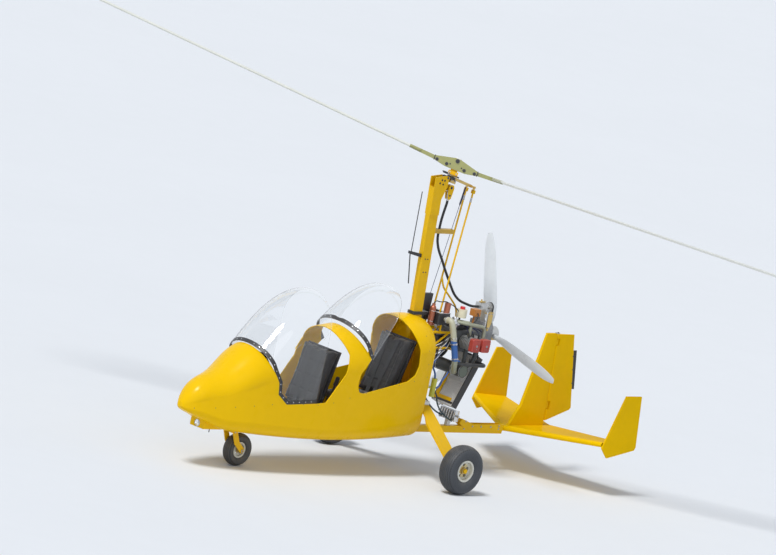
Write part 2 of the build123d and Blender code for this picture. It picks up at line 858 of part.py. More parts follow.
# Silencer across the engine with its four downpipes
silencer_y = 412
silencer_z = 924
silencer_wall = 3
with BuildPart() as silencer:
    rod((-200, silencer_y, silencer_z), (200, silencer_y, silencer_z), 55)
    for side in (PORT, STARBOARD):
        low = barrel_z - barrel_radius_engine - seam_gap
        rod((side * 170, barrel_stations[0], low), (side * 170, barrel_stations[0], silencer_z), 19)
        hose(
            (
                (side * 170, barrel_stations[1], low), (side * 170, barrel_stations[1], 1010),
                (side * 170, silencer_y, silencer_z),
            ),
            19,
        )
    rod(
        (silencer_wall - 200, silencer_y, silencer_z), (200 - silencer_wall, silencer_y, silencer_z),
        55 - silencer_wall, mode=Mode.SUBTRACT,
    )
silencer.part.label = "silencer"
export_step(silencer.part, "parts/silencer.step")

# Engine mount from the mast to the crankcase
post_start = engine_top + seam_gap
mount_levels = (1240, 1100)
mount_tube_x = 95
mount_tube_radius = 12
with BuildPart() as engine_mount:
    for level in mount_levels:
        side_block(
            (
                (mast_rear(level - 14) + seam_gap, level - 14), (-20, level - 14),
                (-20, level + 14), (mast_rear(level + 14) + seam_gap, level + 14),
            ),
            mount_tube_x + mount_tube_radius,
        )
        for side in (PORT, STARBOARD):
            rod(
                (side * mount_tube_x, -30, level), (side * mount_tube_x, engine_front - seam_gap, level),
                mount_tube_radius,
            )
    for side in (PORT, STARBOARD):
        rod(
            (side * mount_tube_x, 130, mount_levels[0]),
            (side * mount_tube_x, 130, airbox_low - seam_gap), 9,
        )
        rod(
            (side * mount_tube_x, 250, mount_levels[0]), (side * mount_tube_x, 60, mount_levels[1]), 9,
        )
    hose(
        (
            (0, 400, post_start), (0, 400, 1330), (0, 375, 1440), (0, 271, 1527), (0, 161, 1614),
            (0, 122, 1700),
        ),
        8,
    )
engine_mount.part.label = "engine_mount"
export_step(engine_mount.part, "parts/engine_mount.step")

# Coolant bottle and box on posts over the crankcase, and a bottle on the mast
with BuildPart() as fluid_bottles:
    rod((70, 365, post_start), (70, 365, 1390), 9)
    rod((100, 349, 1380), (100, 349, 1452), 44)
    rod((100, 349, 1452), (100, 349, 1474), 22)
    rod((100, 190, 671), (100, 190, 832), 24)
    side_block(
        (
            (mast_rear(744) + seam_gap, 744), (186, 744), (186, 756), (mast_rear(756) + seam_gap, 756),
        ),
        46, middle=56,
    )
fluid_bottles.part.label = "fluid_bottles"
export_step(fluid_bottles.part, "parts/fluid_bottles.step")

with BuildPart() as electrics_box:
    rod((90, 519, post_start), (90, 519, 1400), 9)
    side_block(((484, 1396), (554, 1396), (554, 1456), (484, 1456)), 32, middle=96)
electrics_box.part.label = "electrics_box"
export_step(electrics_box.part, "parts/electrics_box.step")

# Radiator, raked, with side rails and hangers
radiator_plane = Plane(
    origin=(0, 567, 801), x_dir=(1, 0, 0), z_dir=(0, cos(radians(24.4)), -sin(radians(24.4))),
)
radiator_half_width = 119
radiator_length = 475
cooler_y = 564
cooler_low = 452
with BuildPart() as radiators:
    with BuildSketch(radiator_plane):
        Rectangle(2 * radiator_half_width, radiator_length - 60)
    extrude(amount=24, both=True)
    with BuildSketch(radiator_plane):
        with Locations((0, radiator_length / 2 - 15), (0, 15 - radiator_length / 2)):
            Rectangle(2 * radiator_half_width, 30)
    extrude(amount=30, both=True)
    side_block(
        (
            (cooler_y - 22, cooler_low), (cooler_y + 22, cooler_low),
            (cooler_y + 22, 542), (cooler_y - 22, 542),
        ),
        90,
    )
    side_block(
        (
            (cooler_y - 18, keel_top + seam_gap), (cooler_y + 18, keel_top + seam_gap),
            (cooler_y + 18, cooler_low), (cooler_y - 18, cooler_low),
        ),
        18,
    )
radiators.part.label = "radiators"
export_step(radiators.part, "parts/radiators.step")

rail_width = 8
with BuildPart() as radiator_frame:
    for side in (PORT, STARBOARD):
        with BuildSketch(radiator_plane):
            with Locations((side * (radiator_half_width + seam_gap + rail_width / 2), 0)):
                Rectangle(rail_width, radiator_length)
        extrude(amount=33, both=True)
    with BuildSketch(radiator_plane):
        with Locations((0, -radiator_length / 2 - 7 - seam_gap)):
            Rectangle(2 * (radiator_half_width + seam_gap + rail_width), 14)
    extrude(amount=33, both=True)
    for side in (PORT, STARBOARD):
        rod(
            (side * (radiator_half_width - 18), 646, 1031),
            (side * (radiator_half_width - 18), 646, engine_bottom - seam_gap), 8,
        )
radiator_frame.part.label = "radiator_frame"
export_step(radiator_frame.part, "parts/radiator_frame.step")

hose_radius = 16
with BuildPart() as coolant_hose:
    hose(
        (
            (radiator_half_width + seam_gap + rail_width + seam_gap, 648, 985), (228, 648, 985),
            (228, 470, 990), (228, 262, 1002), (212, 205, 1192), (206, 140, 1362),
            (airbox_half_width + seam_gap, 140, 1362),
        ),
        hose_radius,
    )
coolant_hose.part.label = "coolant_hose"
export_step(coolant_hose.part, "parts/coolant_hose.step")

# Prerotator drive on the gearbox, its pulley and the flexible shaft to the head
drive_front = 640
drive_rear = 722
drive_z = 1450
with BuildPart() as prerotator_drive:
    side_block(
        (
            (drive_front, 1400), (drive_front + 22, gearbox_top + seam_gap),
            (drive_rear, gearbox_top + seam_gap), (drive_rear, 1492), (drive_front, 1492),
        ),
        36,
    )
    rod((0, drive_rear - 5, drive_z), (0, 775, drive_z), 12)
    rod((0, 770, drive_z), (0, 792, drive_z), 46)
prerotator_drive.part.label = "prerotator_drive"
export_step(prerotator_drive.part, "parts/prerotator_drive.step")

shaft_points = (
    (0, drive_front - seam_gap, 1455), (0, 560, 1455), (0, 396, 1498), (8, 301, 1558),
    (19, 199, 1671), (19, 113, 1778), (19, 70, 1840), (6, -5, 1950), (0, -38, 2040), (0, -38, 2210),
    (0, -8, 2371), (0, -22, 2452),
)
with BuildPart() as prerotator_shaft:
    hose(shaft_points, shaft_radius)
print("prerotator shaft arc radii", [round(value) for value in bend_radii(shaft_points)])
prerotator_shaft.part.label = "prerotator_shaft"
export_step(prerotator_shaft.part, "parts/prerotator_shaft.step")

# Sprung gear legs, their carrier on the mast and the stub axles
leg_droop = 37
leg_root = (200, 615)
leg_thickness = 16
leg_inner = 60
axle_plate_x = 690
main_axle_z = main_tyre_diameter / 2
axle_radius = 12
wheel_x = main_track / 2
leg_end = (axle_plate_x + 8, leg_root[1] - (axle_plate_x + 8 - leg_root[0]) * tan(radians(leg_droop)))
hub_half_length = 40
half_leg = leg_thickness / 2
mitre = half_leg / cos(radians(leg_droop / 2))
mitre_across = mitre * sin(radians(leg_droop / 2))
mitre_up = mitre * cos(radians(leg_droop / 2))
slant_across = half_leg * sin(radians(leg_droop))
slant_up = half_leg * cos(radians(leg_droop))
leg_bend = 70
leg_band = (
    (leg_inner, leg_root[1] + half_leg),
    (leg_root[0] + mitre_across, leg_root[1] + mitre_up),
    (leg_end[0] + slant_across, leg_end[1] + slant_up),
    (leg_end[0] - slant_across, leg_end[1] - slant_up),
    (leg_root[0] - mitre_across, leg_root[1] - mitre_up),
    (leg_inner, leg_root[1] - half_leg),
)
with BuildPart() as gear_legs:
    for side in (PORT, STARBOARD):
        with BuildSketch(Plane.XZ.offset(-95)):
            with BuildLine():
                FilletPolyline(
                    *((side * across, up) for across, up in leg_band),
                    radius=(0, leg_bend, 0, 0, leg_bend, 0), close=True,
                )
            make_face()
        extrude(amount=190)
    with BuildSketch() as plan:
        for side in (PORT, STARBOARD):
            with BuildLine():
                Polyline(
                    (side * 40, -38), (side * 290, -38), (side * 350, -70), (side * 720, -72),
                    (side * 720, 72), (side * 330, 84), (side * 210, 80), (side * 40, 80), close=True,
                )
            make_face()
    extrude(amount=900, mode=Mode.INTERSECT)
    for side in (PORT, STARBOARD):
        with BuildSketch(Plane.YZ.offset(side * axle_plate_x)):
            with Locations((0, (main_axle_z - 30 + leg_end[1] + 8) / 2)):
                RectangleRounded(96, leg_end[1] + 8 - main_axle_z + 30, 12)
        extrude(amount=side * 16)
        rod(
            (side * axle_plate_x, 0, main_axle_z),
            (side * (wheel_x - hub_half_length - wheel_running_gap), 0, main_axle_z), axle_radius + 6,
        )
        rod(
            (side * axle_plate_x, 0, main_axle_z),
            (side * (wheel_x + hub_half_length + wheel_running_gap + 10), 0, main_axle_z), axle_radius,
        )
        rod(
            (side * (wheel_x + hub_half_length + wheel_running_gap), 0, main_axle_z),
            (side * (wheel_x + hub_half_length + wheel_running_gap + 12), 0, main_axle_z),
            axle_radius + 8,
        )
gear_legs.part.label = "gear_legs"
export_step(gear_legs.part, "parts/gear_legs.step")

carrier_low = 578
carrier_high = 652
with BuildPart() as gear_carrier:
    side_block(
        (
            (mast_rear(carrier_low) + seam_gap, carrier_low), (84, carrier_low), (84, carrier_high),
            (mast_rear(carrier_high) + seam_gap, carrier_high),
        ),
        200,
    )
    side_block(
        ((-42, carrier_low), (10, carrier_low), (10, carrier_high), (-42, carrier_high)), 200,
    )
    with BuildSketch(mast_plane):
        Rectangle(mast_width + 2 * seam_gap, mast_depth + 2 * seam_gap)
    extrude(amount=400, mode=Mode.SUBTRACT)
    for side in (PORT, STARBOARD):
        with BuildSketch(Plane.XZ.offset(39)):
            with BuildLine():
                Polyline(
                    (side * (leg_inner - 2), leg_root[1] - half_leg - seam_gap),
                    (side * (leg_inner - 2), leg_root[1] + half_leg + seam_gap),
                    (side * 210, leg_root[1] + half_leg + seam_gap),
                    (side * 210, leg_root[1] - half_leg - seam_gap - 8),
                    (side * 176, leg_root[1] - half_leg - seam_gap), close=True,
                )
            make_face()
        extrude(amount=-200, mode=Mode.SUBTRACT)
gear_carrier.part.label = "gear_carrier"
export_step(gear_carrier.part, "parts/gear_carrier.step")

# Wheels: a hollow tyre on a drum rim with one spoked face
tyre_wall = 9
bead_inset = 24
rim_wall = 5
flange_height = 10


def tyre_section(height, width, rim_radius, inset):
    """Half of a tyre's outline about its axle, as a closed face in the axle's plane."""
    bead_half = width / 2 - bead_inset - inset
    bulge_half = width / 2 - inset
    top = height / 2 - inset
    shoulder_half = width * 0.42 - inset
    shoulder = top - height * 0.045
    middle = rim_radius + (top - rim_radius) * 0.45
    with BuildLine() as outline:
        Polyline((-bead_half, rim_radius), (-bead_half, rim_radius + flange_height))
        ThreePointArc((-bead_half, rim_radius + flange_height), (-bulge_half, middle), (-shoulder_half, shoulder))
        ThreePointArc((-shoulder_half, shoulder), (0, top), (shoulder_half, shoulder))
        ThreePointArc((shoulder_half, shoulder), (bulge_half, middle), (bead_half, rim_radius + flange_height))
        Polyline((bead_half, rim_radius + flange_height), (bead_half, rim_radius), (-bead_half, rim_radius))
    make_face(outline.line.edges())


wheel_table = (
    # name, centre x, axle y, tyre diameter, tyre width, rim diameter, axle radius, hub half length, outer side
    ("port", wheel_x, 0, main_tyre_diameter, main_tyre_width, main_rim_diameter, axle_radius,
     hub_half_length, PORT),
    ("starboard", -wheel_x, 0, main_tyre_diameter, main_tyre_width, main_rim_diameter, axle_radius,
     hub_half_length, STARBOARD),
    ("nose", 0, nose_axle_y, nose_tyre_diameter, nose_tyre_width, nose_rim_diameter, nose_axle_radius,
     nose_tyre_width / 2, PORT),
)

for name, centre_x, axle_y, height, width, rim_size, pin, hub_half, outer in wheel_table:
    axle_plane = Plane(origin=(centre_x, axle_y, height / 2), x_dir=(1, 0, 0), z_dir=(0, -1, 0))
    axle_line = Axis((centre_x, axle_y, height / 2), (1, 0, 0))
    with BuildPart() as tyre:
        with BuildSketch(axle_plane) as outside:
            tyre_section(height, width, rim_size / 2 + seam_gap, 0)
        with BuildSketch(axle_plane) as inside:
            tyre_section(height, width, rim_size / 2 + seam_gap, tyre_wall)
        revolve(outside.sketch, axis=axle_line)
        revolve(inside.sketch, axis=axle_line, mode=Mode.SUBTRACT)
    tyre.part.label = name + "_tyre"
    export_step(tyre.part, "parts/" + name + "_tyre.step")

    bead_half = width / 2 - bead_inset
    barrel_half = bead_half + seam_gap + rim_wall
    rim_radius = rim_size / 2
    disc_from = outer * barrel_half * 0.3
    hub_radius = pin + 14
    with BuildPart() as rim:
        with BuildSketch(axle_plane) as section:
            with Locations((0, rim_radius - rim_wall / 2)):
                Rectangle(2 * barrel_half, rim_wall)
            with Locations(
                (barrel_half - rim_wall / 2, rim_radius + flange_height / 2),
                (rim_wall / 2 - barrel_half, rim_radius + flange_height / 2),
            ):
                Rectangle(rim_wall, flange_height)
            with Locations((disc_from, (rim_radius + pin) / 2)):
                Rectangle(8, rim_radius - pin - rim_wall)
            with Locations((0, (hub_radius + pin + shaft_clearance) / 2)):
                Rectangle(2 * hub_half, hub_radius - pin - shaft_clearance)
        revolve(section.sketch, axis=axle_line)
        hole_plane = Plane(origin=(centre_x + disc_from, axle_y, height / 2), z_dir=(1, 0, 0))
        with BuildSketch(hole_plane) as holes:
            with PolarLocations((rim_radius - rim_wall + hub_radius) / 2, 5):
                Circle((rim_radius - rim_wall - hub_radius) * 0.32)
        extrude(holes.sketch, amount=8, both=True, mode=Mode.SUBTRACT)
    rim.part.label = name + "_rim"
    export_step(rim.part, "parts/" + name + "_rim.step")

# Nose fork: stem in the keel's steering head, crown and two kinked legs
fork_leg_gap = nose_tyre_width / 2 + wheel_running_gap
fork_leg_width = 10
nose_axle_z = nose_tyre_diameter / 2
fork_side = (
    (-2062, 316), (-2010, 200), (-1924, 124), (-1892, 122), (-1884, 158), (-1962, 222), (-2008, 316),
)
crown_low = 296
crown_high = 316
with BuildPart() as nose_fork:
    for side in (PORT, STARBOARD):
        side_block(
            fork_side, fork_leg_width / 2, middle=side * (fork_leg_gap + fork_leg_width / 2),
        )
    side_block(
        ((-2062, crown_low), (-2008, crown_low), (-2008, crown_high), (-2062, crown_high)),
        fork_leg_gap + fork_leg_width,
    )
    rod((0, steer_y, crown_low), (0, steer_y, keel_top + 18), steer_stem_radius)
    rod((0, steer_y, crown_high), (0, steer_y, keel_bottom - seam_gap), steer_head_radius)
    rod((0, steer_y, keel_top + seam_gap), (0, steer_y, keel_top + 14), steer_head_radius)
    rod(
        (-fork_leg_gap - fork_leg_width - 8, nose_axle_y, nose_axle_z),
        (fork_leg_gap + fork_leg_width + 8, nose_axle_y, nose_axle_z), nose_axle_radius,
    )
    with BuildSketch(Plane.YZ.offset(-200)):
        with Locations((nose_axle_y, nose_axle_z)):
            Circle(nose_axle_bore)
    extrude(amount=400, mode=Mode.SUBTRACT)
nose_fork.part.label = "nose_fork"
export_step(nose_fork.part, "parts/nose_fork.step")

# Tail
stabiliser_stations = (
    # x, leading edge y, leading edge z, trailing edge y, trailing edge z, thickness
    (0, keel_rear + seam_gap, 385, 1838, 415, 52),
    (stabiliser_half_span, 1668, 460, 2072, 457, 44),
)


def stabiliser_loft(grow, mode=Mode.ADD):
    """Both halves of the stabiliser, thickened by the growth on each face."""
    for side in (PORT, STARBOARD):
        faces = []
        for across, lead_y, lead_z, trail_y, trail_z, thick in stabiliser_stations:
            half = thick / 2 + grow
            edge = 5 + grow
            with BuildSketch(Plane.YZ.offset(side * across)) as section:
                with BuildLine():
                    ThreePointArc(
                        (lead_y + half, lead_z - half), (lead_y - grow, lead_z),
                        (lead_y + half, lead_z + half),
                    )
                    Polyline(
                        (lead_y + half, lead_z + half), (trail_y + min(grow, 0) * 8, trail_z + edge),
                        (trail_y + min(grow, 0) * 8, trail_z - edge), (lead_y + half, lead_z - half),
                    )
                make_face()
            faces.append(section.sketch.face())
        loft(faces, mode=mode)


with BuildPart() as stabiliser:
    stabiliser_loft(0)
    stabiliser_loft(-stabiliser_wall, Mode.SUBTRACT)
stabiliser.part.label = "stabiliser"
export_step(stabiliser.part, "parts/stabiliser.step")

winglet_thickness = 16
winglet_outline = (
    (1673, 430), (1848, 899), (2036, 901), (2092, 447), (2078, 420), (1757, 345),
)
with BuildPart() as winglets:
    for side in (PORT, STARBOARD):
        side_block(
            winglet_outline, winglet_thickness / 2,
            middle=side * (stabiliser_half_span + seam_gap + winglet_thickness / 2),
        )
winglets.part.label = "winglets"
export_step(winglets.part, "parts/winglets.step")

hinge_top = (1705, 1222)
hinge_low = (1744, 651)
hinge_slope = (hinge_low[0] - hinge_top[0]) / (hinge_low[1] - hinge_top[1])
hinge_pin_radius = 5


def hinge_y(z):
    """The rudder hinge line at a height."""
    return hinge_top[0] + (z - hinge_top[1]) * hinge_slope


hinge_lugs = (
    # lower z, upper z
    (569, 631),
    (1140, 1190),
)
fin_levels = (
    # z, leading edge y, half thickness at the hinge
    (406, 1304, 24),
    (440, 1322, 24),
    (520, 1366, 23),
    (593, 1415, 22),
    (1240, 1559, 16),
)
with BuildPart() as fin:
    for (low_z, low_lead, low_half), (high_z, high_lead, high_half) in zip(fin_levels, fin_levels[1:]):
        faces = []
        for z, lead_y, half in ((low_z, low_lead, low_half), (high_z, high_lead, high_half)):
            rear = hinge_y(z) - half - rudder_gap
            with BuildSketch(Plane.XY.offset(z)) as section:
                with BuildLine():
                    ThreePointArc((half * 0.7, lead_y + half), (0, lead_y), (-half * 0.7, lead_y + half))
                    Polyline(
                        (-half * 0.7, lead_y + half), (-half, rear - 60), (-half, rear), (half, rear),
                        (half, rear - 60), (half * 0.7, lead_y + half),
                    )
                make_face()
            faces.append(section.sketch.face())
        loft(faces, ruled=True)
    for low, high in hinge_lugs:
        side_block(
            (
                (hinge_y(low) - 50, low), (hinge_y(low) + 12, low),
                (hinge_y(high) + 12, high), (hinge_y(high) - 50, high),
            ),
            10,
        )
    stabiliser_loft(seam_gap, Mode.SUBTRACT)
    with BuildSketch(
        Plane(origin=(0, hinge_y(400), 400), z_dir=(0, hinge_slope, 1))
    ) as pin_bore:
        Circle(hinge_pin_radius + shaft_clearance)
    extrude(pin_bore.sketch, amount=1000, mode=Mode.SUBTRACT)
fin.part.label = "fin"
export_step(fin.part, "parts/fin.step")

rudder_levels = (
    # z, trailing edge y, half thickness at the hinge
    (457, 2085, 24),
    (1234, 1909, 16),
)
with BuildPart() as rudder:
    faces = []
    for z, trail_y, half in rudder_levels:
        with BuildSketch(Plane.XY.offset(z)) as section:
            with BuildLine():
                ThreePointArc((half, hinge_y(z)), (0, hinge_y(z) - half), (-half, hinge_y(z)))
                Polyline(
                    (-half, hinge_y(z)), (-4, trail_y), (4, trail_y), (half, hinge_y(z)),
                )
            make_face()
        faces.append(section.sketch.face())
    loft(faces, ruled=True)
    side_block(
        ((1600, 400), (1740, 462), (2040, 560), (2120, 640), (2120, 400)), 60, Mode.SUBTRACT,
    )
    for low, high in hinge_lugs:
        side_block(
            (
                (hinge_y(low) - 40, low - rudder_gap), (hinge_y(low) + 22, low - rudder_gap),
                (hinge_y(high) + 22, high + rudder_gap), (hinge_y(high) - 40, high + rudder_gap),
            ),
            60, Mode.SUBTRACT,
        )
    for low, high in hinge_lugs:
        rod((0, hinge_y(low - 16), low - 16), (0, hinge_y(high + 16), high + 16), hinge_pin_radius)
rudder.part.label = "rudder"
export_step(rudder.part, "parts/rudder.step")

with BuildPart() as rudder_tab:
    side_block(((1941.6, 1093), (1984, 1093), (2051, 746), (2020.2, 746)), 1.5)
rudder_tab.part.label = "rudder_tab"
export_step(rudder_tab.part, "parts/rudder_tab.step")

# Antenna ahead of the mast
with BuildPart() as antenna:
    side_block(
        (
            (mast_front(1870) - seam_gap, 1870), (-343, 1899), (-343, 1923),
            (mast_front(1902) - seam_gap, 1902),
        ),
        12,
    )
    rod((0, -320, 1915), (0, -339, 2445), 4)
    rod((0, -330, 1905), (0, -273, 1637), 5)
antenna.part.label = "antenna"
export_step(antenna.part, "parts/antenna.step")

# Cockpit: everything here stands inside the shell's lining
with BuildPart() as cockpit_room:
    pod_loft(pod_wall + seam_gap)


def shifted(start, end, shift):
    """A (y, z) line moved square to itself, aft where the shift is positive."""
    run = hypot(end[0] - start[0], end[1] - start[1])
    aft = (end[1] - start[1]) / run * shift
    down = (start[0] - end[0]) / run * shift
    return (start[0] + aft, start[1] + down), (end[0] + aft, end[1] + down)


seat_table = (
    # pan, back, back line from the base up, base, base half width, cushion half width
    (
        ((-1700, 500), (-1285, 464), (-1285, 524), (-1700, 560)),
        ((-1300, 560), (-1240, 545), (-1120, 1060), (-1180, 1075)),
        ((-1263, 446), (-1120, 1060)),
        ((-1690, 290), (-1690, 498.8), (-1285, 463.7), (-1238, 463.7), (-1238, 290)),
        160, 200,
    ),
    (
        ((-850, 580), (-430, 580), (-430, 640), (-850, 640)),
        ((-445, 655), (-380.1, 642), (-225, 1175), (-280, 1190)),
        ((-404, 560), (-225, 1175)),
        ((-840, 290), (-840, 579.7), (-430, 579.7), (-378, 579.7), (-378, 290)),
        125, 190,
    ),
)
seat_plate = 12
tunnel_half_width = saddle_half_width + 5
with BuildPart() as seat_cushions:
    for pan, back, back_line, base, base_half, cushion_half in seat_table:
        side_block(pan, cushion_half)
seat_cushions.part.label = "seat_cushions"
export_step(seat_cushions.part, "parts/seat_cushions.step")

with BuildPart() as seat_backs:
    for pan, back, back_line, base, base_half, cushion_half in seat_table:
        side_block(back, cushion_half)
seat_backs.part.label = "seat_backs"
export_step(seat_backs.part, "parts/seat_backs.step")

with BuildPart() as seat_bases:
    for pan, back, back_line, base, base_half, cushion_half in seat_table:
        (front, foot), (_, front_top), (corner, corner_top), (rear, _), _ = base
        side_block(base, base_half)
        side_block(
            (
                (front + pod_wall, foot), (front + pod_wall, front_top - pod_wall),
                (corner, corner_top - pod_wall), (rear - pod_wall, corner_top - pod_wall),
                (rear - pod_wall, foot),
            ),
            base_half - pod_wall, Mode.SUBTRACT,
        )
        near = shifted(*back_line, seam_gap)
        far = shifted(*back_line, seam_gap + seat_plate)
        side_block(near + far[::-1], cushion_half)
    side_block(
        ((-2000, 0), (0, 0), (0, keel_top + 8), (-2000, keel_top + 8)), tunnel_half_width,
        Mode.SUBTRACT,
    )
    add(cockpit_room.part, mode=Mode.INTERSECT)
seat_bases.part.label = "seat_bases"
export_step(seat_bases.part, "parts/seat_bases.step")

with BuildPart() as instrument_panel:
    with BuildSketch(Plane.XZ.offset(1924)):
        with BuildLine():
            Polyline(
                (-170, 770), (170, 770), (200, 930), (120, 1010), (-120, 1010), (-200, 930), close=True,
            )
        make_face()
    extrude(amount=12)
    side_block(
        (
            (-1926, 780), (-1880, 700), (-1880, keel_top + seam_gap), (-1926, keel_top + seam_gap),
        ),
        50,
    )
instrument_panel.part.label = "instrument_panel"
export_step(instrument_panel.part, "parts/instrument_panel.step")

with BuildPart() as controls:
    hose(((0, -1745, keel_top + seam_gap), (0, -1745, 450), (0, -1785, 640), (0, -1740, 830)), 11)
    rod((0, -1756, 768), (0, -1736, 845), 17)
    hose(((0, -900, keel_top + seam_gap), (0, -900, 450), (0, -930, 600), (0, -885, 770)), 11)
    rod((0, -899, 716), (0, -880, 788), 17)
    side_block(((-2320, 340), (-2280, 340), (-2280, 410), (-2320, 410)), 28)
    rod((-112, -2300, 420), (112, -2300, 420), 10)
    for side in (PORT, STARBOARD):
        side_block(
            ((-2306, 415), (-2296, 415), (-2312, 570), (-2322, 570)), 28, middle=side * 82,
        )
    add(cockpit_room.part, mode=Mode.INTERSECT)
controls.part.label = "controls"
export_step(controls.part, "parts/controls.step")

# Landing light: a bowl and its lens in the chin housing
lamp_outer = lamp_radius + 2 - seam_gap
lamp_back = chin_front + 26 - seam_gap
lamp_bowl_radius = 36
lens_curve = 90
with BuildPart() as lamp_bowl:
    rod((0, lamp_back, lamp_z), (0, chin_front + 3, lamp_z), lamp_outer)
    with Locations((0, chin_front - 24, lamp_z)):
        Sphere(lamp_bowl_radius, mode=Mode.SUBTRACT)
lamp_bowl.part.label = "lamp_bowl"
export_step(lamp_bowl.part, "parts/lamp_bowl.step")

with BuildPart() as lamp_lens:
    lens_face = chin_front + 3 - seam_gap
    rod((0, lens_face - 12, lamp_z), (0, lens_face, lamp_z), lamp_outer)
    with Locations((0, lens_face - 12 + lens_curve, lamp_z)):
        Sphere(lens_curve, mode=Mode.INTERSECT)
lamp_lens.part.label = "lamp_lens"
export_step(lamp_lens.part, "parts/lamp_lens.step")
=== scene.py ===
from math import cos, pi, radians, sin

import bmesh
import bpy
from mathutils import Matrix, Vector
from mathutils.bvhtree import BVHTree


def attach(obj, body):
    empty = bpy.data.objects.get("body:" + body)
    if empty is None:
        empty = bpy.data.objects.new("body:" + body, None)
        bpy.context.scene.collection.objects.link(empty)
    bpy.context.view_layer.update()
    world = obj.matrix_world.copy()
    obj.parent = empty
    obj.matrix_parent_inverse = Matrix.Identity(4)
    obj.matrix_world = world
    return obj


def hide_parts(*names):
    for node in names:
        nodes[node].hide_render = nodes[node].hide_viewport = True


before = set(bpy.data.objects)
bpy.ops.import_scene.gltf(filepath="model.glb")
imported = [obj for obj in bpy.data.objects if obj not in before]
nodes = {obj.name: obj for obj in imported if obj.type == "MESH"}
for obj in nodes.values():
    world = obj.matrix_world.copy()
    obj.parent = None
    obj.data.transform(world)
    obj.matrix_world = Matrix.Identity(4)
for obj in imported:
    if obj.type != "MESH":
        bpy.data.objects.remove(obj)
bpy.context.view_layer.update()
print("frame loaded,", len(nodes), "solids")

# Axes as in the solids: +X port, +Y aft, +Z up. Places are written in millimetres.
mm = 0.001

# Camera, floor and light
cameraLook = {
    "lens": 486.6, "sensor": 36, "distance": 90, "far": 400, "target": (-0.473, -0.038, 1.567),
    "right": (0.6848, 0.6996, 0.2043), "back": (0.6805, -0.7141, 0.1643),
}
back = Vector(cameraLook["back"]).normalized()
right = Vector(cameraLook["right"])
right = (right - back * right.dot(back)).normalized()
cameraPlace = Vector(cameraLook["target"]) + back * cameraLook["distance"]
cameraTurn = Matrix((right, back.cross(right), back)).transposed()
cameraData = bpy.data.cameras.new("camera")
cameraData.lens = cameraLook["lens"]
cameraData.sensor_width = cameraLook["sensor"]
cameraData.sensor_fit = "HORIZONTAL"
cameraData.clip_end = cameraLook["far"]
camera = bpy.data.objects.new("camera", cameraData)
camera.matrix_world = Matrix.Translation(cameraPlace) @ cameraTurn.to_4x4()
bpy.context.scene.collection.objects.link(camera)
bpy.context.scene.camera = camera
bpy.context.scene.view_settings.view_transform = "Standard"

studio = {
    "keyFrom": (0.10, -0.52, 0.85), "keyStrength": 2.3, "keySoftness": 14,
    "fillFrom": (0.75, -0.55, 0.35), "fillStrength": 0.5, "fillSoftness": 60,
    "skyTone": (0.80, 0.87, 1.0), "skyStrength": 0.40,
    "backdropTone": (0.90, 0.94, 0.98), "backdropStrength": 1.0,
    "floorTone": (0.78, 0.80, 0.82), "floorSize": 400,
}
for lampName in ("key", "fill"):
    sunData = bpy.data.lights.new(lampName + "Sun", "SUN")
    sunData.energy = studio[lampName + "Strength"]
    sunData.angle = radians(studio[lampName + "Softness"])
    sun = bpy.data.objects.new(lampName + "Sun", sunData)
    sun.rotation_euler = Vector(studio[lampName + "From"]).to_track_quat("Z", "Y").to_euler()
    bpy.context.scene.collection.objects.link(sun)

# The sky lights the object, and camera, gloss and glass see the pale backdrop instead
world = bpy.data.worlds.new("studioSky")
bpy.context.scene.world = world
world.use_nodes = True
skyTree = world.node_tree
skyTree.nodes.clear()
skyMix = skyTree.nodes.new("ShaderNodeMixShader")
for index, part in enumerate(("sky", "backdrop")):
    background = skyTree.nodes.new("ShaderNodeBackground")
    background.inputs["Color"].default_value = (*studio[part + "Tone"], 1)
    background.inputs["Strength"].default_value = studio[part + "Strength"]
    skyTree.links.new(background.outputs[0], skyMix.inputs[1 + index])
skyRays = skyTree.nodes.new("ShaderNodeLightPath")
seenRay = skyRays.outputs["Is Camera Ray"]
for ray in ("Is Glossy Ray", "Is Transmission Ray"):
    eitherRay = skyTree.nodes.new("ShaderNodeMath")
    eitherRay.operation = "MAXIMUM"
    skyTree.links.new(seenRay, eitherRay.inputs[0])
    skyTree.links.new(skyRays.outputs[ray], eitherRay.inputs[1])
    seenRay = eitherRay.outputs[0]
skyTree.links.new(seenRay, skyMix.inputs["Fac"])
skyTree.links.new(skyMix.outputs[0], skyTree.nodes.new("ShaderNodeOutputWorld").inputs["Surface"])
print("camera, lamps and sky set")


# Shared effects, each a node group
def newGroup(name, inputs, outputs):
    tree = bpy.data.node_groups.new(name, "ShaderNodeTree")
    for label, kind, value in inputs:
        tree.interface.new_socket(name=label, in_out="INPUT", socket_type=kind).default_value = value
    for label, kind in outputs:
        tree.interface.new_socket(name=label, in_out="OUTPUT", socket_type=kind)
    return tree, tree.nodes.new("NodeGroupInput"), tree.nodes.new("NodeGroupOutput")


def noise(tree, vector, scale, detail=3):
    node = tree.nodes.new("ShaderNodeTexNoise")
    node.inputs["Detail"].default_value = detail
    tree.links.new(vector, node.inputs["Vector"])
    if isinstance(scale, (int, float)):
        node.inputs["Scale"].default_value = scale
    else:
        tree.links.new(scale, node.inputs["Scale"])
    return node.outputs["Fac"]


def calc(tree, operation, first, second=0.0, clamp=False):
    node = tree.nodes.new("ShaderNodeMath")
    node.operation = operation
    node.use_clamp = clamp
    for index, value in enumerate((first, second)):
        if isinstance(value, (int, float)):
            node.inputs[index].default_value = value
        else:
            tree.links.new(value, node.inputs[index])
    return node.outputs[0]


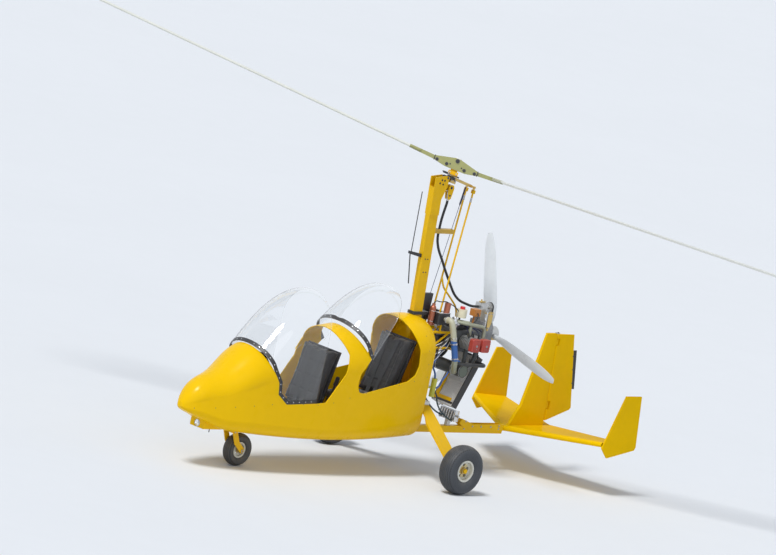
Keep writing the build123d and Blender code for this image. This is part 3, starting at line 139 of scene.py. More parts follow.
def spread(tree, value, low, high, toLow, toHigh):
    node = tree.nodes.new("ShaderNodeMapRange")
    node.inputs["From Min"].default_value = low
    node.inputs["From Max"].default_value = high
    for label, end in (("To Min", toLow), ("To Max", toHigh)):
        if isinstance(end, (int, float)):
            node.inputs[label].default_value = end
        else:
            tree.links.new(end, node.inputs[label])
    tree.links.new(value, node.inputs["Value"])
    return node.outputs["Result"]


def mixTones(tree, share, first, second):
    node = tree.nodes.new("ShaderNodeMix")
    node.data_type = "RGBA"
    for socket, value in ((node.inputs[0], share), (node.inputs[6], first), (node.inputs[7], second)):
        if isinstance(value, (int, float)):
            socket.default_value = value
        elif isinstance(value, tuple):
            socket.default_value = (*value[:3], 1)
        else:
            tree.links.new(value, socket)
    return node.outputs[2]


vectorKind, toneKind, numberKind = "NodeSocketVector", "NodeSocketColor", "NodeSocketFloat"
spotSocket, toneSocket = ("Vector", vectorKind, (0, 0, 0)), ("Tone", toneKind, (1, 1, 1, 1))
tonedOutputs = (("Color", toneKind), ("Mask", numberKind))

# toneDrift: a finish is a little lighter and darker from place to place
toneDrift, given, made = newGroup(
    "toneDrift", (spotSocket, toneSocket, ("Scale", numberKind, 3.0), ("Amount", numberKind, 0.06)),
    tonedOutputs
)
broad = noise(toneDrift, given.outputs["Vector"], given.outputs["Scale"], 2)
fine = noise(toneDrift, given.outputs["Vector"], calc(toneDrift, "MULTIPLY", given.outputs["Scale"], 9.0), 4)
broadShare, fineShare = calc(toneDrift, "MULTIPLY", broad, 0.6), calc(toneDrift, "MULTIPLY", fine, 0.4)
blended = calc(toneDrift, "ADD", broadShare, fineShare)
lift = spread(
    toneDrift, blended, 0.3, 0.7, calc(toneDrift, "SUBTRACT", 1.0, given.outputs["Amount"]),
    calc(toneDrift, "ADD", 1.0, given.outputs["Amount"]),
)
shade = toneDrift.nodes.new("ShaderNodeHueSaturation")
toneDrift.links.new(lift, shade.inputs["Value"])
toneDrift.links.new(given.outputs["Tone"], shade.inputs["Color"])
toneDrift.links.new(shade.outputs["Color"], made.inputs["Color"])
toneDrift.links.new(spread(toneDrift, blended, 0.3, 0.7, 0.0, 1.0), made.inputs["Mask"])

# dustFilm: dust that settles where a face looks up
dustFilm, given, made = newGroup(
    "dustFilm",
    (
        spotSocket, ("Normal", vectorKind, (0, 0, 1)), toneSocket, ("Dust", toneKind, (0.5, 0.45, 0.38, 1)),
        ("Amount", numberKind, 0.1),
    ),
    tonedOutputs,
)
split = dustFilm.nodes.new("ShaderNodeSeparateXYZ")
dustFilm.links.new(given.outputs["Normal"], split.inputs[0])
upward = spread(dustFilm, split.outputs["Z"], 0.1, 1.0, 0.0, 1.0)
patches = spread(dustFilm, noise(dustFilm, given.outputs["Vector"], 14.0, 6), 0.4, 0.7, 0.15, 1.0)
film = calc(dustFilm, "MULTIPLY", calc(dustFilm, "MULTIPLY", upward, patches), given.outputs["Amount"], True)
dusted = mixTones(dustFilm, film, given.outputs["Tone"], given.outputs["Dust"])
dustFilm.links.new(dusted, made.inputs["Color"])
dustFilm.links.new(film, made.inputs["Mask"])

# surfaceGrain: fine relief, drawn out along one way for brushed metal
surfaceGrain, given, made = newGroup(
    "surfaceGrain",
    (spotSocket, ("Stretch", vectorKind, (1, 1, 1)), ("Scale", numberKind, 200.0)),
    (("Height", numberKind),),
)
drawn = surfaceGrain.nodes.new("ShaderNodeVectorMath")
drawn.operation = "MULTIPLY"
surfaceGrain.links.new(given.outputs["Vector"], drawn.inputs[0])
surfaceGrain.links.new(given.outputs["Stretch"], drawn.inputs[1])
height = noise(surfaceGrain, drawn.outputs[0], given.outputs["Scale"], 5)
surfaceGrain.links.new(height, made.inputs["Height"])

# rubMarks: small scuffs and chips where the finish has been handled
rubMarks, given, made = newGroup(
    "rubMarks",
    (spotSocket, toneSocket, ("Bare", toneKind, (0.5, 0.5, 0.5, 1)), ("Amount", numberKind, 0.1)),
    tonedOutputs,
)
cells = rubMarks.nodes.new("ShaderNodeTexVoronoi")
cells.feature = "DISTANCE_TO_EDGE"
cells.inputs["Scale"].default_value = 26
rubMarks.links.new(given.outputs["Vector"], cells.inputs["Vector"])
edgeLine = spread(rubMarks, cells.outputs["Distance"], 0.0, 0.05, 1.0, 0.0)
whereRubbed = spread(rubMarks, noise(rubMarks, given.outputs["Vector"], 9.0, 5), 0.56, 0.64, 0.0, 1.0)
rubbed = calc(
    rubMarks, "MULTIPLY", calc(rubMarks, "MULTIPLY", edgeLine, whereRubbed), given.outputs["Amount"], True
)
scuffed = mixTones(rubMarks, rubbed, given.outputs["Tone"], given.outputs["Bare"])
rubMarks.links.new(scuffed, made.inputs["Color"])
rubMarks.links.new(rubbed, made.inputs["Mask"])


def startFinish(name):
    material = bpy.data.materials.new(name)
    material.use_nodes = True
    tree = material.node_tree
    tree.nodes.clear()
    shader = tree.nodes.new("ShaderNodeBsdfPrincipled")
    end = tree.nodes.new("ShaderNodeOutputMaterial")
    tree.links.new(shader.outputs[0], end.inputs["Surface"])
    where = tree.nodes.new("ShaderNodeTexCoord")
    return material, tree, shader, where


def placeGroup(tree, group, values, links):
    node = tree.nodes.new("ShaderNodeGroup")
    node.node_tree = group
    for label, value in values.items():
        node.inputs[label].default_value = value
    for label, source in links.items():
        tree.links.new(source, node.inputs[label])
    return node


def addRelief(tree, shader, height, strength, distance=0.001):
    bump = tree.nodes.new("ShaderNodeBump")
    bump.inputs["Strength"].default_value = strength
    bump.inputs["Distance"].default_value = distance
    tree.links.new(height, bump.inputs["Height"])
    tree.links.new(bump.outputs[0], shader.inputs["Normal"])
    return bump


def addTone(tree, where, tone, scale, amount):
    values = {"Tone": (*tone, 1), "Scale": scale, "Amount": amount}
    return placeGroup(tree, toneDrift, values, {"Vector": where.outputs["Object"]})


def addDust(tree, where, tone, amount):
    links = {"Vector": where.outputs["Object"], "Normal": where.outputs["Normal"], "Tone": tone}
    return placeGroup(tree, dustFilm, {"Amount": amount}, links)


def addRows(tree, vector, way, scale):
    rows = tree.nodes.new("ShaderNodeTexWave")
    rows.bands_direction = way
    rows.inputs["Scale"].default_value = scale
    tree.links.new(vector, rows.inputs["Vector"])
    return rows


def addCentre(tree, where, middle):
    shifted = tree.nodes.new("ShaderNodeMapping")
    shifted.inputs["Location"].default_value = [-value * mm for value in middle]
    tree.links.new(where.outputs["Object"], shifted.inputs["Vector"])
    return shifted.outputs[0]


def splitAxes(tree, vector):
    axes = tree.nodes.new("ShaderNodeSeparateXYZ")
    tree.links.new(vector, axes.inputs[0])
    return axes.outputs["X"], axes.outputs["Y"], axes.outputs["Z"]


plainLook = {
    "tone": (0.5, 0.5, 0.5), "rough": 0.4, "roughDrift": 0.06, "metallic": 0.0, "drift": 0.06,
    "driftScale": 3.0,
    "dust": 0.0, "rub": 0.0, "bare": (0.5, 0.5, 0.5), "grainScale": 220.0, "grainStretch": (1, 1, 1),
    "grain": 0.05, "coat": 0.0, "coatRough": 0.08, "sheen": 0.0, "specular": 0.5,
}
plainSockets = {
    "metallic": "Metallic", "coat": "Coat Weight", "coatRough": "Coat Roughness", "sheen": "Sheen Weight",
    "specular": "Specular IOR Level",
}


def makeFinish(name, **changes):
    look = {**plainLook, **changes}
    material, tree, shader, where = startFinish(name)
    spot = where.outputs["Object"]
    tone = addTone(tree, where, look["tone"], look["driftScale"], look["drift"])
    color = tone.outputs["Color"]
    if look["rub"]:
        values = {"Bare": (*look["bare"], 1), "Amount": look["rub"]}
        color = placeGroup(tree, rubMarks, values, {"Vector": spot, "Tone": color}).outputs["Color"]
    smooth, dull = look["rough"] - look["roughDrift"], look["rough"] + look["roughDrift"]
    rough = spread(tree, tone.outputs["Mask"], 0.0, 1.0, smooth, dull)
    if look["dust"]:
        dust = addDust(tree, where, color, look["dust"])
        color = dust.outputs["Color"]
        rough = calc(tree, "ADD", rough, calc(tree, "MULTIPLY", dust.outputs["Mask"], 0.5), True)
    tree.links.new(color, shader.inputs["Base Color"])
    tree.links.new(rough, shader.inputs["Roughness"])
    values = {"Scale": look["grainScale"], "Stretch": look["grainStretch"]}
    grain = placeGroup(tree, surfaceGrain, values, {"Vector": spot})
    addRelief(tree, shader, grain.outputs["Height"], look["grain"])
    for key, socket in plainSockets.items():
        shader.inputs[socket].default_value = look[key]
    return material


# Finishes
yellowTone = (0.84, 0.51, 0.001)
oliveTone = (0.31, 0.31, 0.11)
shellYellow = makeFinish(
    "shellYellow", tone=yellowTone, rough=0.27, roughDrift=0.05, drift=0.035, driftScale=1.6, dust=0.012,
    coat=0.10, coatRough=0.06, grainScale=14.0, grain=0.006, specular=0.05,
)
frameYellow = makeFinish(
    "frameYellow", tone=(0.80, 0.47, 0.002), rough=0.34, dust=0.03, rub=0.35, bare=(0.42, 0.30, 0.08),
    coat=0.04, grainScale=60.0, grain=0.03, specular=0.14,
)
tailYellow = makeFinish(
    "tailYellow", tone=yellowTone, rough=0.3, roughDrift=0.05, drift=0.05, driftScale=2.2, dust=0.01,
    coat=0.10, coatRough=0.12, grainScale=18.0, grain=0.01, specular=0.0,
)
blackSatin = makeFinish(
    "blackSatin", tone=(0.022, 0.022, 0.025), rough=0.42, drift=0.2, dust=0.10, rub=0.25,
    bare=(0.16, 0.16, 0.17),
)
mouldedBlack = makeFinish(
    "mouldedBlack", tone=(0.028, 0.028, 0.031), rough=0.5, drift=0.2, dust=0.12, grainScale=900.0, grain=0.12,
)
darkSteel = makeFinish(
    "darkSteel", tone=(0.10, 0.10, 0.11), rough=0.42, metallic=0.7, drift=0.22, rub=0.5,
    bare=(0.42, 0.41, 0.40), dust=0.08, grain=0.08,
)
brightSteel = makeFinish(
    "brightSteel", tone=(0.62, 0.62, 0.63), rough=0.26, metallic=1.0, drift=0.1, grainScale=90.0,
    grainStretch=(1, 1, 14), grain=0.06,
)
boltSteel = makeFinish("boltSteel", tone=(0.42, 0.42, 0.43), rough=0.32, metallic=0.9, drift=0.14)
goldPlate = makeFinish("goldPlate", tone=(0.62, 0.44, 0.16), rough=0.33, metallic=0.85, drift=0.16)
hubAlloy = makeFinish(
    "hubAlloy", tone=oliveTone, rough=0.36, metallic=0.1, dust=0.05, grainScale=120.0,
    grainStretch=(6, 1, 1), grain=0.04, coat=0.2,
)
machinedAlloy = makeFinish(
    "machinedAlloy", tone=(0.55, 0.55, 0.54), rough=0.34, metallic=0.75, drift=0.12, dust=0.06, grain=0.06,
)
castAlloy = makeFinish(
    "castAlloy", tone=(0.25, 0.255, 0.26), rough=0.48, metallic=0.45, drift=0.34, driftScale=12.0, dust=0.16,
    grainScale=420.0, grain=0.30,
)
blockAlloy = makeFinish(
    "blockAlloy", tone=(0.11, 0.115, 0.12), rough=0.52, metallic=0.4, drift=0.4, driftScale=16.0, dust=0.18,
    grainScale=420.0, grain=0.30,
)
finAlloy = makeFinish(
    "finAlloy", tone=(0.42, 0.42, 0.41), metallic=0.6, drift=0.2, driftScale=14.0, dust=0.1, grain=0.1,
)
pipeSteel = makeFinish(
    "pipeSteel", tone=(0.29, 0.30, 0.22), metallic=0.4, drift=0.25, driftScale=9.0, dust=0.12, rub=0.2,
    bare=(0.45, 0.42, 0.34), grain=0.08,
)
brickRed = makeFinish(
    "brickRed", tone=(0.42, 0.055, 0.040), rough=0.42, drift=0.14, driftScale=9.0, dust=0.08,
    grainScale=520.0, grain=0.22, rub=0.2, bare=(0.5, 0.25, 0.2),
)
darkCan = makeFinish(
    "darkCan", tone=(0.035, 0.040, 0.042), rough=0.45, metallic=0.35, drift=0.25, driftScale=10.0, dust=0.2,
    rub=0.25, bare=(0.22, 0.22, 0.2), grain=0.1,
)
canEnd = makeFinish(
    "canEnd", tone=(0.13, 0.15, 0.12), rough=0.5, metallic=0.3, drift=0.2, driftScale=12.0, dust=0.15,
    grain=0.1
)
amberPlastic = makeFinish(
    "amberPlastic", tone=(0.50, 0.19, 0.035), rough=0.42, drift=0.16, dust=0.1, grain=0.1
)
tealRubber = makeFinish(
    "tealRubber", tone=(0.012, 0.040, 0.050), rough=0.45, drift=0.15, dust=0.08, grain=0.08
)
bluePlastic = makeFinish("bluePlastic", tone=(0.035, 0.11, 0.36), drift=0.1)
blackRubber = makeFinish(
    "blackRubber", tone=(0.018, 0.018, 0.02), rough=0.6, drift=0.2, dust=0.12, grainScale=500.0, grain=0.15,
)
copperCan = makeFinish(
    "copperCan", tone=(0.36, 0.12, 0.07), metallic=0.55, drift=0.22, driftScale=14.0, grain=0.08,
)
propPale = makeFinish(
    "propPale", tone=(0.66, 0.69, 0.71), rough=0.3, driftScale=4.0, coat=0.3, grain=0.02,
)
springBlue = makeFinish("springBlue", tone=(0.012, 0.016, 0.07), rough=0.34, metallic=0.4, drift=0.15)
lampChrome = makeFinish(
    "lampChrome", tone=(0.86, 0.86, 0.86), rough=0.08, roughDrift=0.02, metallic=1.0, drift=0.03, grain=0.01,
)
whiteStrap = makeFinish(
    "whiteStrap", tone=(0.70, 0.70, 0.68), rough=0.6, drift=0.08, driftScale=20.0, dust=0.1, grainScale=700.0,
    grain=0.2,
)


def makeGlass(name, tone, rough):
    material, tree, shader, where = startFinish(name)
    haze = addTone(tree, where, tone, 2.0, 0.012)
    tree.links.new(haze.outputs["Color"], shader.inputs["Base Color"])
    roughness = spread(tree, haze.outputs["Mask"], 0.0, 1.0, rough * 0.5, rough * 1.5)
    tree.links.new(roughness, shader.inputs["Roughness"])
    shader.inputs["Transmission Weight"].default_value = 1.0
    shader.inputs["IOR"].default_value = 1.49  # acrylic
    return material


screenClear = makeGlass("screenClear", (0.985, 0.992, 0.996), 0.012)
lampClear = makeGlass("lampClear", (0.97, 0.98, 0.98), 0.03)


# A close plain weave with a slight nap, for the seats and belts
def makeCloth(name, tone, threads):
    material, tree, shader, where = startFinish(name)
    tint = addTone(tree, where, tone, 8.0, 0.16)
    heights = []
    for way in ("X", "Z"):
        rows = addRows(tree, where.outputs["Object"], way, threads)
        rows.inputs["Distortion"].default_value = 0.6
        rows.inputs["Detail"].default_value = 1
        heights.append(rows.outputs["Fac"])
    weave = calc(tree, "MAXIMUM", heights[0], heights[1])
    dusted = addDust(tree, where, tint.outputs["Color"], 0.10)
    tree.links.new(dusted.outputs["Color"], shader.inputs["Base Color"])
    tree.links.new(spread(tree, weave, 0.0, 1.0, 0.78, 0.62), shader.inputs["Roughness"])
    addRelief(tree, shader, weave, 0.35, 0.0006)
    shader.inputs["Sheen Weight"].default_value = 0.35
    return material


seatCloth = makeCloth("seatCloth", (0.022, 0.022, 0.024), 260)
beltWeb = makeCloth("beltWeb", (0.030, 0.032, 0.036), 420)

# Tyres: ribs with zigzag edges round the tread, fine rings on the walls; raised rubber takes a lighter tone
# and the grooves and rings keep the dark one as painted shade
mainTread = {
    "radius": 215, "zigzags": 52, "swing": 7, "ribPitch": 17, "ringPitch": 13, "shoulder": (44, 34),
    "tone": (0.014, 0.016, 0.020), "raisedTone": (0.058, 0.064, 0.074),
}
noseTread = {
    "radius": 142, "zigzags": 40, "swing": 3, "ribPitch": 15, "ringPitch": 11, "shoulder": (44, 34),
    "tone": (0.018, 0.019, 0.021), "raisedTone": (0.075, 0.073, 0.070),
}


def makeTyre(name, middle, look):
    material, tree, shader, where = startFinish(name)
    x, y, z = splitAxes(tree, addCentre(tree, where, middle))
    angle = calc(tree, "ARCTAN2", z, y)
    square = calc(tree, "ADD", calc(tree, "POWER", y, 2.0), calc(tree, "POWER", z, 2.0))
    distance = calc(tree, "SQRT", square)
    steps = calc(tree, "MULTIPLY", angle, look["zigzags"] / (2 * pi))
    zigzag = calc(tree, "MULTIPLY", calc(tree, "PINGPONG", steps, 0.5), look["swing"] * mm * 2)
    across = calc(tree, "DIVIDE", calc(tree, "ADD", x, zigzag), look["ribPitch"] * mm)
    ribs = spread(tree, calc(tree, "PINGPONG", across, 0.5), 0.08, 0.16, 0.0, 1.0)
    wallEnd, treadStart = [(look["radius"] - depth) * mm for depth in look["shoulder"]]
    onTread = spread(tree, distance, wallEnd, treadStart, 0.0, 1.0)
    rings = calc(tree, "PINGPONG", calc(tree, "MULTIPLY", distance, 1 / (look["ringPitch"] * mm)), 0.5)
    wall = spread(tree, rings, 0.04, 0.1, 0.75, 1.0)
    pattern = tree.nodes.new("ShaderNodeMix")
    for index, value in ((0, onTread), (2, wall), (3, ribs)):
        tree.links.new(value, pattern.inputs[index])
    tint = addTone(tree, where, look["tone"], 9.0, 0.22)
    # the grooves and wall rings keep the darker tone as painted shade; the raised rubber takes the lighter
    # one
    grooveShadeShare = calc(tree, "MULTIPLY", pattern.outputs[0], 0.8)
    grooveShadedTone = mixTones(tree, grooveShadeShare, tint.outputs["Color"], look["raisedTone"])
    tree.links.new(addDust(tree, where, grooveShadedTone, 0.18).outputs["Color"], shader.inputs["Base Color"])
    tree.links.new(spread(tree, tint.outputs["Mask"], 0.0, 1.0, 0.55, 0.75), shader.inputs["Roughness"])
    addRelief(tree, shader, pattern.outputs[0], 0.9, 0.004)
    return material


wheelMiddles = {"port": (800, 0, 215), "starboard": (-800, 0, 215), "nose": (0, -1906, 142)}
portRubber = makeTyre("portRubber", wheelMiddles["port"], mainTread)
starboardRubber = makeTyre("starboardRubber", wheelMiddles["starboard"], mainTread)
noseRubber = makeTyre("noseRubber", wheelMiddles["nose"], noseTread)

# Radiator core: pressed fins between flat tubes, the core tone raised as painted light on this down-facing
# face and the gaps between the fins darkened as painted shade
radLook = {
    "middle": (0, 567, 801), "tilt": 24.4, "rows": (("X", 42), ("Z", 120)),
    # the pale tone is raised as painted light, as this face gets little light; the darker gap colour is
    # painted shade between the fins
    "tone": (0.84, 0.84, 0.83), "gapShadeTone": (0.50, 0.50, 0.505),
}


def makeCore(name, look):
    material, tree, shader, where = startFinish(name)
    turned = tree.nodes.new("ShaderNodeMapping")
    turned.inputs["Rotation"].default_value = (radians(look["tilt"]), 0, 0)
    tree.links.new(where.outputs["Object"], turned.inputs["Vector"])
    heights = [addRows(tree, turned.outputs[0], way, scale).outputs["Fac"] for way, scale in look["rows"]]
    core = calc(tree, "MULTIPLY", heights[0], heights[1])
    tint = addTone(tree, where, look["tone"], 7.0, 0.2)
    # the gaps between the fin rows take the darker gap colour, painted shade
    share = spread(tree, core, 0.02, 0.6, 0.0, 1.0)
    toned = mixTones(tree, share, look["gapShadeTone"], tint.outputs["Color"])
    tree.links.new(toned, shader.inputs["Base Color"])
    tree.links.new(spread(tree, core, 0.0, 1.0, 0.6, 0.36), shader.inputs["Roughness"])
    shader.inputs["Metallic"].default_value = 0.15
    addRelief(tree, shader, core, 0.6, 0.002)
    return material


coreGrey = makeCore("coreGrey", radLook)


# Banded finishes: another tone above each height, with fine ribs
def makeBanded(name, lowestTone, bands, rough, ribScale):
    material, tree, shader, where = startFinish(name)
    height = splitAxes(tree, where.outputs["Object"])[2]
    lowest = addTone(tree, where, lowestTone, 8.0, 0.12)
    color = lowest.outputs["Color"]
    for level, tone in bands:
        tint = addTone(tree, where, tone, 8.0, 0.12)
        share = spread(tree, height, level * mm - 0.0005, level * mm + 0.0005, 0.0, 1.0)
        color = mixTones(tree, share, color, tint.outputs["Color"])
    tree.links.new(addDust(tree, where, color, 0.12).outputs["Color"], shader.inputs["Base Color"])
    roughness = spread(tree, lowest.outputs["Mask"], 0.0, 1.0, rough - 0.08, rough + 0.08)
    tree.links.new(roughness, shader.inputs["Roughness"])
    ribs = addRows(tree, where.outputs["Object"], "Z", ribScale)
    addRelief(tree, shader, ribs.outputs["Fac"], 0.2, 0.0006)
    return material


hoseBands = ((1020, (0.030, 0.115, 0.36)), (1195, (0.50, 0.49, 0.36)))
bottleBands = ((840, (0.030, 0.030, 0.032)), (1379, (0.78, 0.72, 0.52)), (1453, (0.66, 0.02, 0.02)))
hoseTwoTone = makeBanded("hoseTwoTone", (0.022, 0.024, 0.026), hoseBands, 0.42, 150)
bracketTwoTone = makeBanded("bracketTwoTone", (0.025, 0.025, 0.028), ((1900, (0.52, 0.32, 0.03)),), 0.42, 30)
bottleTones = makeBanded("bottleTones", (0.56, 0.56, 0.06), bottleBands, 0.34, 20)


# Toned by distance from a centre: blade roots and wheel hubs
def makeCentred(name, middle, rings, outerTone, flat, rough):
    material, tree, shader, where = startFinish(name)
    flattened = tree.nodes.new("ShaderNodeVectorMath")
    flattened.operation = "MULTIPLY"
    flattened.inputs[1].default_value = (0 if flat else 1, 1, 1)
    tree.links.new(addCentre(tree, where, middle), flattened.inputs[0])
    far = tree.nodes.new("ShaderNodeVectorMath")
    far.operation = "LENGTH"
    tree.links.new(flattened.outputs[0], far.inputs[0])
    tint = addTone(tree, where, outerTone, 5.0, 0.07)
    color = tint.outputs["Color"]
    for radius, tone in rings:
        inner = addTone(tree, where, tone, 12.0, 0.12)
        share = spread(tree, far.outputs["Value"], radius * mm, radius * mm + 0.001, 1.0, 0.0)
        color = mixTones(tree, share, color, inner.outputs["Color"])
    tree.links.new(addDust(tree, where, color, 0.07).outputs["Color"], shader.inputs["Base Color"])
    roughness = spread(tree, tint.outputs["Mask"], 0.0, 1.0, rough - 0.05, rough + 0.06)
    tree.links.new(roughness, shader.inputs["Roughness"])
    values = {"Scale": 90.0, "Stretch": (1, 1, 1)}
    grain = placeGroup(tree, surfaceGrain, values, {"Vector": where.outputs["Object"]})
    addRelief(tree, shader, grain.outputs["Height"], 0.02)
    shader.inputs["Coat Weight"].default_value = 0.15
    return material


hubMiddle = (0, 12, 2723)
rimTone = (0.66, 0.65, 0.57)
rimRings = ((60, (0.66, 0.56, 0.30)), (27, (0.50, 0.33, 0.08)))
noseRings = ((26, (0.45, 0.30, 0.10)),)
bladeFinish = makeCentred("bladeFinish", hubMiddle, ((432, oliveTone),), (0.70, 0.71, 0.64), False, 0.33)
portRimFinish = makeCentred("portRimFinish", wheelMiddles["port"], rimRings, rimTone, True, 0.36)
starboardRimFinish = makeCentred(
    "starboardRimFinish", wheelMiddles["starboard"], rimRings, rimTone, True, 0.36
)
noseRimFinish = makeCentred("noseRimFinish", wheelMiddles["nose"], noseRings, (0.62, 0.60, 0.50), True, 0.38)
print("finishes made")

# Every solid that stays gets its finish
nodeFinish = {
    "fuselage_tub": shellYellow, "nose_cowl": shellYellow, "mid_cowl": shellYellow, "rear_cowl": shellYellow,
    "front_windshield": screenClear, "rear_windshield": screenClear, "windshield_trims": blackSatin,
    "keel": frameYellow, "mast": frameYellow, "mast_brackets": bracketTwoTone, "seat_bases": mouldedBlack,
    "seat_cushions": seatCloth, "seat_backs": seatCloth, "instrument_panel": blackSatin,
    "controls": mouldedBlack,
    "lamp_bowl": lampChrome, "lamp_lens": lampClear, "engine_block": blockAlloy, "rocker_covers": brickRed,
    "gearbox": castAlloy, "engine_mount": frameYellow, "airbox": mouldedBlack, "air_canister": copperCan,
    "intake_pipes": pipeSteel, "silencer": darkCan, "fluid_bottles": bottleTones,
    "electrics_box": amberPlastic,
    "radiators": coreGrey, "radiator_frame": blackSatin, "coolant_hose": hoseTwoTone,
    "prerotator_drive": machinedAlloy, "prerotator_shaft": blackRubber, "gear_legs": frameYellow,
    "gear_carrier": machinedAlloy, "stabiliser": tailYellow, "winglets": tailYellow, "fin": tailYellow,
    "antenna": blackSatin, "head_yoke": darkSteel, "head_block": goldPlate, "rotor_tower": frameYellow,
    "hub_bar": hubAlloy, "rotor_blades": bladeFinish, "prop_hub": machinedAlloy, "prop_blades": propPale,
    "nose_fork": frameYellow, "nose_rim": noseRimFinish, "nose_tyre": noseRubber, "port_rim": portRimFinish,
    "port_tyre": portRubber, "starboard_rim": starboardRimFinish, "starboard_tyre": starboardRubber,
    "rudder": tailYellow, "rudder_tab": blackSatin, "pushrods": frameYellow, "trim_spring": springBlue,
}
for name, finish in nodeFinish.items():
    for slot in nodes[name].material_slots:
        slot.material = finish
print("solids dressed")


# Small tools for new pieces
def spot3(place):
    return Vector(place) * mm


def towards(axis):
    return Vector(axis).to_track_quat("Z", "Y").to_matrix().to_4x4()


def flip(place, side):
    return (side * place[0], place[1], place[2])


def addDrum(form, start, end, radius, endRadius=None, sides=24):
    low, high = spot3(start), spot3(end)
    run = high - low
    bmesh.ops.create_cone(
        form, cap_ends=True, segments=sides, radius1=radius * mm,
        radius2=(radius if endRadius is None else endRadius) * mm, depth=run.length,
        matrix=Matrix.Translation((low + high) / 2) @ towards(run),
    )


upright = Matrix.Identity(3)


def addBox(form, middle, size, turn, rounding=0.0):
    verts = bmesh.ops.create_cube(form, size=1.0)["verts"]
    bmesh.ops.scale(form, vec=spot3(size), verts=verts)
    if rounding:
        edges = list({edge for vert in verts for edge in vert.link_edges})
        rounded = bmesh.ops.bevel(
            form, geom=edges, offset=rounding * mm, offset_type="OFFSET", segments=2, profile=0.5,
            affect="EDGES", material=-1,
        )
        verts = list({vert for vert in rounded["verts"]} | {vert for vert in verts if vert.is_valid})
    bmesh.ops.transform(form, matrix=Matrix.Translation(spot3(middle)) @ turn.to_4x4(), verts=verts)


def addBlock(form, corner, opposite, rounding=0.0):
    corner, opposite = Vector(corner), Vector(opposite)
    size = [abs(length) for length in opposite - corner]
    addBox(form, (corner + opposite) / 2, size, upright, rounding)


def addRing(form, middle, axis, radius, thick, sides=32, tubeSides=8):
    made = bmesh.ops.create_circle(form, segments=tubeSides, radius=thick * mm)
    bmesh.ops.rotate(form, cent=(0, 0, 0), matrix=Matrix.Rotation(pi / 2, 3, "X"), verts=made["verts"])
    bmesh.ops.translate(form, vec=(radius * mm, 0, 0), verts=made["verts"])
    edges = list({edge for vert in made["verts"] for edge in vert.link_edges})
    bmesh.ops.spin(
        form, geom=made["verts"] + edges, cent=(0, 0, 0), axis=(0, 0, 1), angle=2 * pi, steps=sides,
        use_merge=True
    )
    verts = {vert for vert in made["verts"] if vert.is_valid}
    front = list(verts)
    while front:
        for edge in front.pop().link_edges:
            for vert in edge.verts:
                if vert not in verts:
                    verts.add(vert)
                    front.append(vert)
    bmesh.ops.recalc_face_normals(form, faces=list({face for vert in verts for face in vert.link_faces}))
    bmesh.ops.transform(form, matrix=Matrix.Translation(spot3(middle)) @ towards(axis), verts=list(verts))


# Washer, six-sided head and stud end
def addBolt(form, middle, axis, across, height, washer=True):
    middle, axis = Vector(middle), Vector(axis).normalized()
    if washer:
        addDrum(form, middle - axis * 1, middle + axis * 1.6, across * 0.78, sides=16)
    addDrum(form, middle + axis * 1, middle + axis * height, across * 0.56, sides=6)
    addDrum(form, middle + axis * height, middle + axis * (height + across * 0.28), across * 0.30, sides=10)


def addScrew(form, place, normal, look):
    low, high = place - normal * look["sink"], place + normal * look["rise"]
    addDrum(form, low, high, look["radius"], look["topRadius"], look["sides"])


def addStrip(form, places, width, thick):
    width = Vector(width) * mm
    first = spot3(places[0])
    edge = form.edges.new([form.verts.new(first - width / 2), form.verts.new(first + width / 2)])
    faces = []
    for before, after in zip(places, places[1:]):
        grown = bmesh.ops.extrude_edge_only(form, edges=[edge])["geom"]
        moved = [item for item in grown if isinstance(item, bmesh.types.BMVert)]
        faces += [item for item in grown if isinstance(item, bmesh.types.BMFace)]
        edge = [item for item in grown if isinstance(item, bmesh.types.BMEdge)][0]
        bmesh.ops.translate(form, vec=spot3(after) - spot3(before), verts=moved)
    solid = bmesh.ops.solidify(form, geom=faces, thickness=thick * mm)["geom"]
    whole = set(faces) | {item for item in solid if isinstance(item, bmesh.types.BMFace)}
    bmesh.ops.recalc_face_normals(form, faces=[face for face in whole if face.is_valid])


def addPlate(form, corners, depth, axis):
    verts = [form.verts.new(spot3(corner)) for corner in corners]
    moved = bmesh.ops.extrude_face_region(form, geom=[form.faces.new(verts)])
    far = [item for item in moved["geom"] if isinstance(item, bmesh.types.BMVert)]
    bmesh.ops.translate(form, vec=Vector(axis).normalized() * depth * mm, verts=far)
    faces = {face for vert in verts + far for face in vert.link_faces}
    bmesh.ops.recalc_face_normals(form, faces=list(faces))


def showPiece(name, data, body):
    piece = bpy.data.objects.new(name, data)
    bpy.context.scene.collection.objects.link(piece)
    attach(piece, body)
    return piece


def finishForm(form, name, finish, body):
    mesh = bpy.data.meshes.new(name)
    form.to_mesh(mesh)
    form.free()
    mesh.shade_smooth()
    mesh.set_sharp_from_angle(angle=radians(34))
    mesh.materials.append(finish)
    return showPiece(name, mesh, body)


# A piece from tables of drums and blocks; those named paired are made on both sides
def makeFitting(name, finish, body, look):
    form = bmesh.new()
    for kind, sides in (("paired", (1, -1)), ("single", (1,))):
        for side in sides:
            for start, end, *rest in look.get(kind + "Drums", ()):
                addDrum(form, flip(start, side), flip(end, side), *rest)
            for corner, opposite, rounding in look.get(kind + "Blocks", ()):
                addBlock(form, flip(corner, side), flip(opposite, side), rounding)
    return finishForm(form, name, finish, body)


def runLines(name, routes, radius, finish, body, order=3, fineness=6, sides=3):
    data = bpy.data.curves.new(name, "CURVE")
    data.dimensions = "3D"
    data.bevel_depth = radius * mm
    data.bevel_resolution = sides
    data.resolution_u = fineness
    data.use_fill_caps = True
    for route in routes:
        spline = data.splines.new("NURBS")
        spline.points.add(len(route) - 1)
        for control, place in zip(spline.points, route):
            control.co = (*spot3(place), 1)
        spline.use_endpoint_u = True
        spline.order_u = min(order, len(route))
    data.materials.append(finish)
    return showPiece(name, data, body)


# Where a ray meets a solid, with the surface's way back towards the ray's start
hitTrees = {}
sideReach = 900


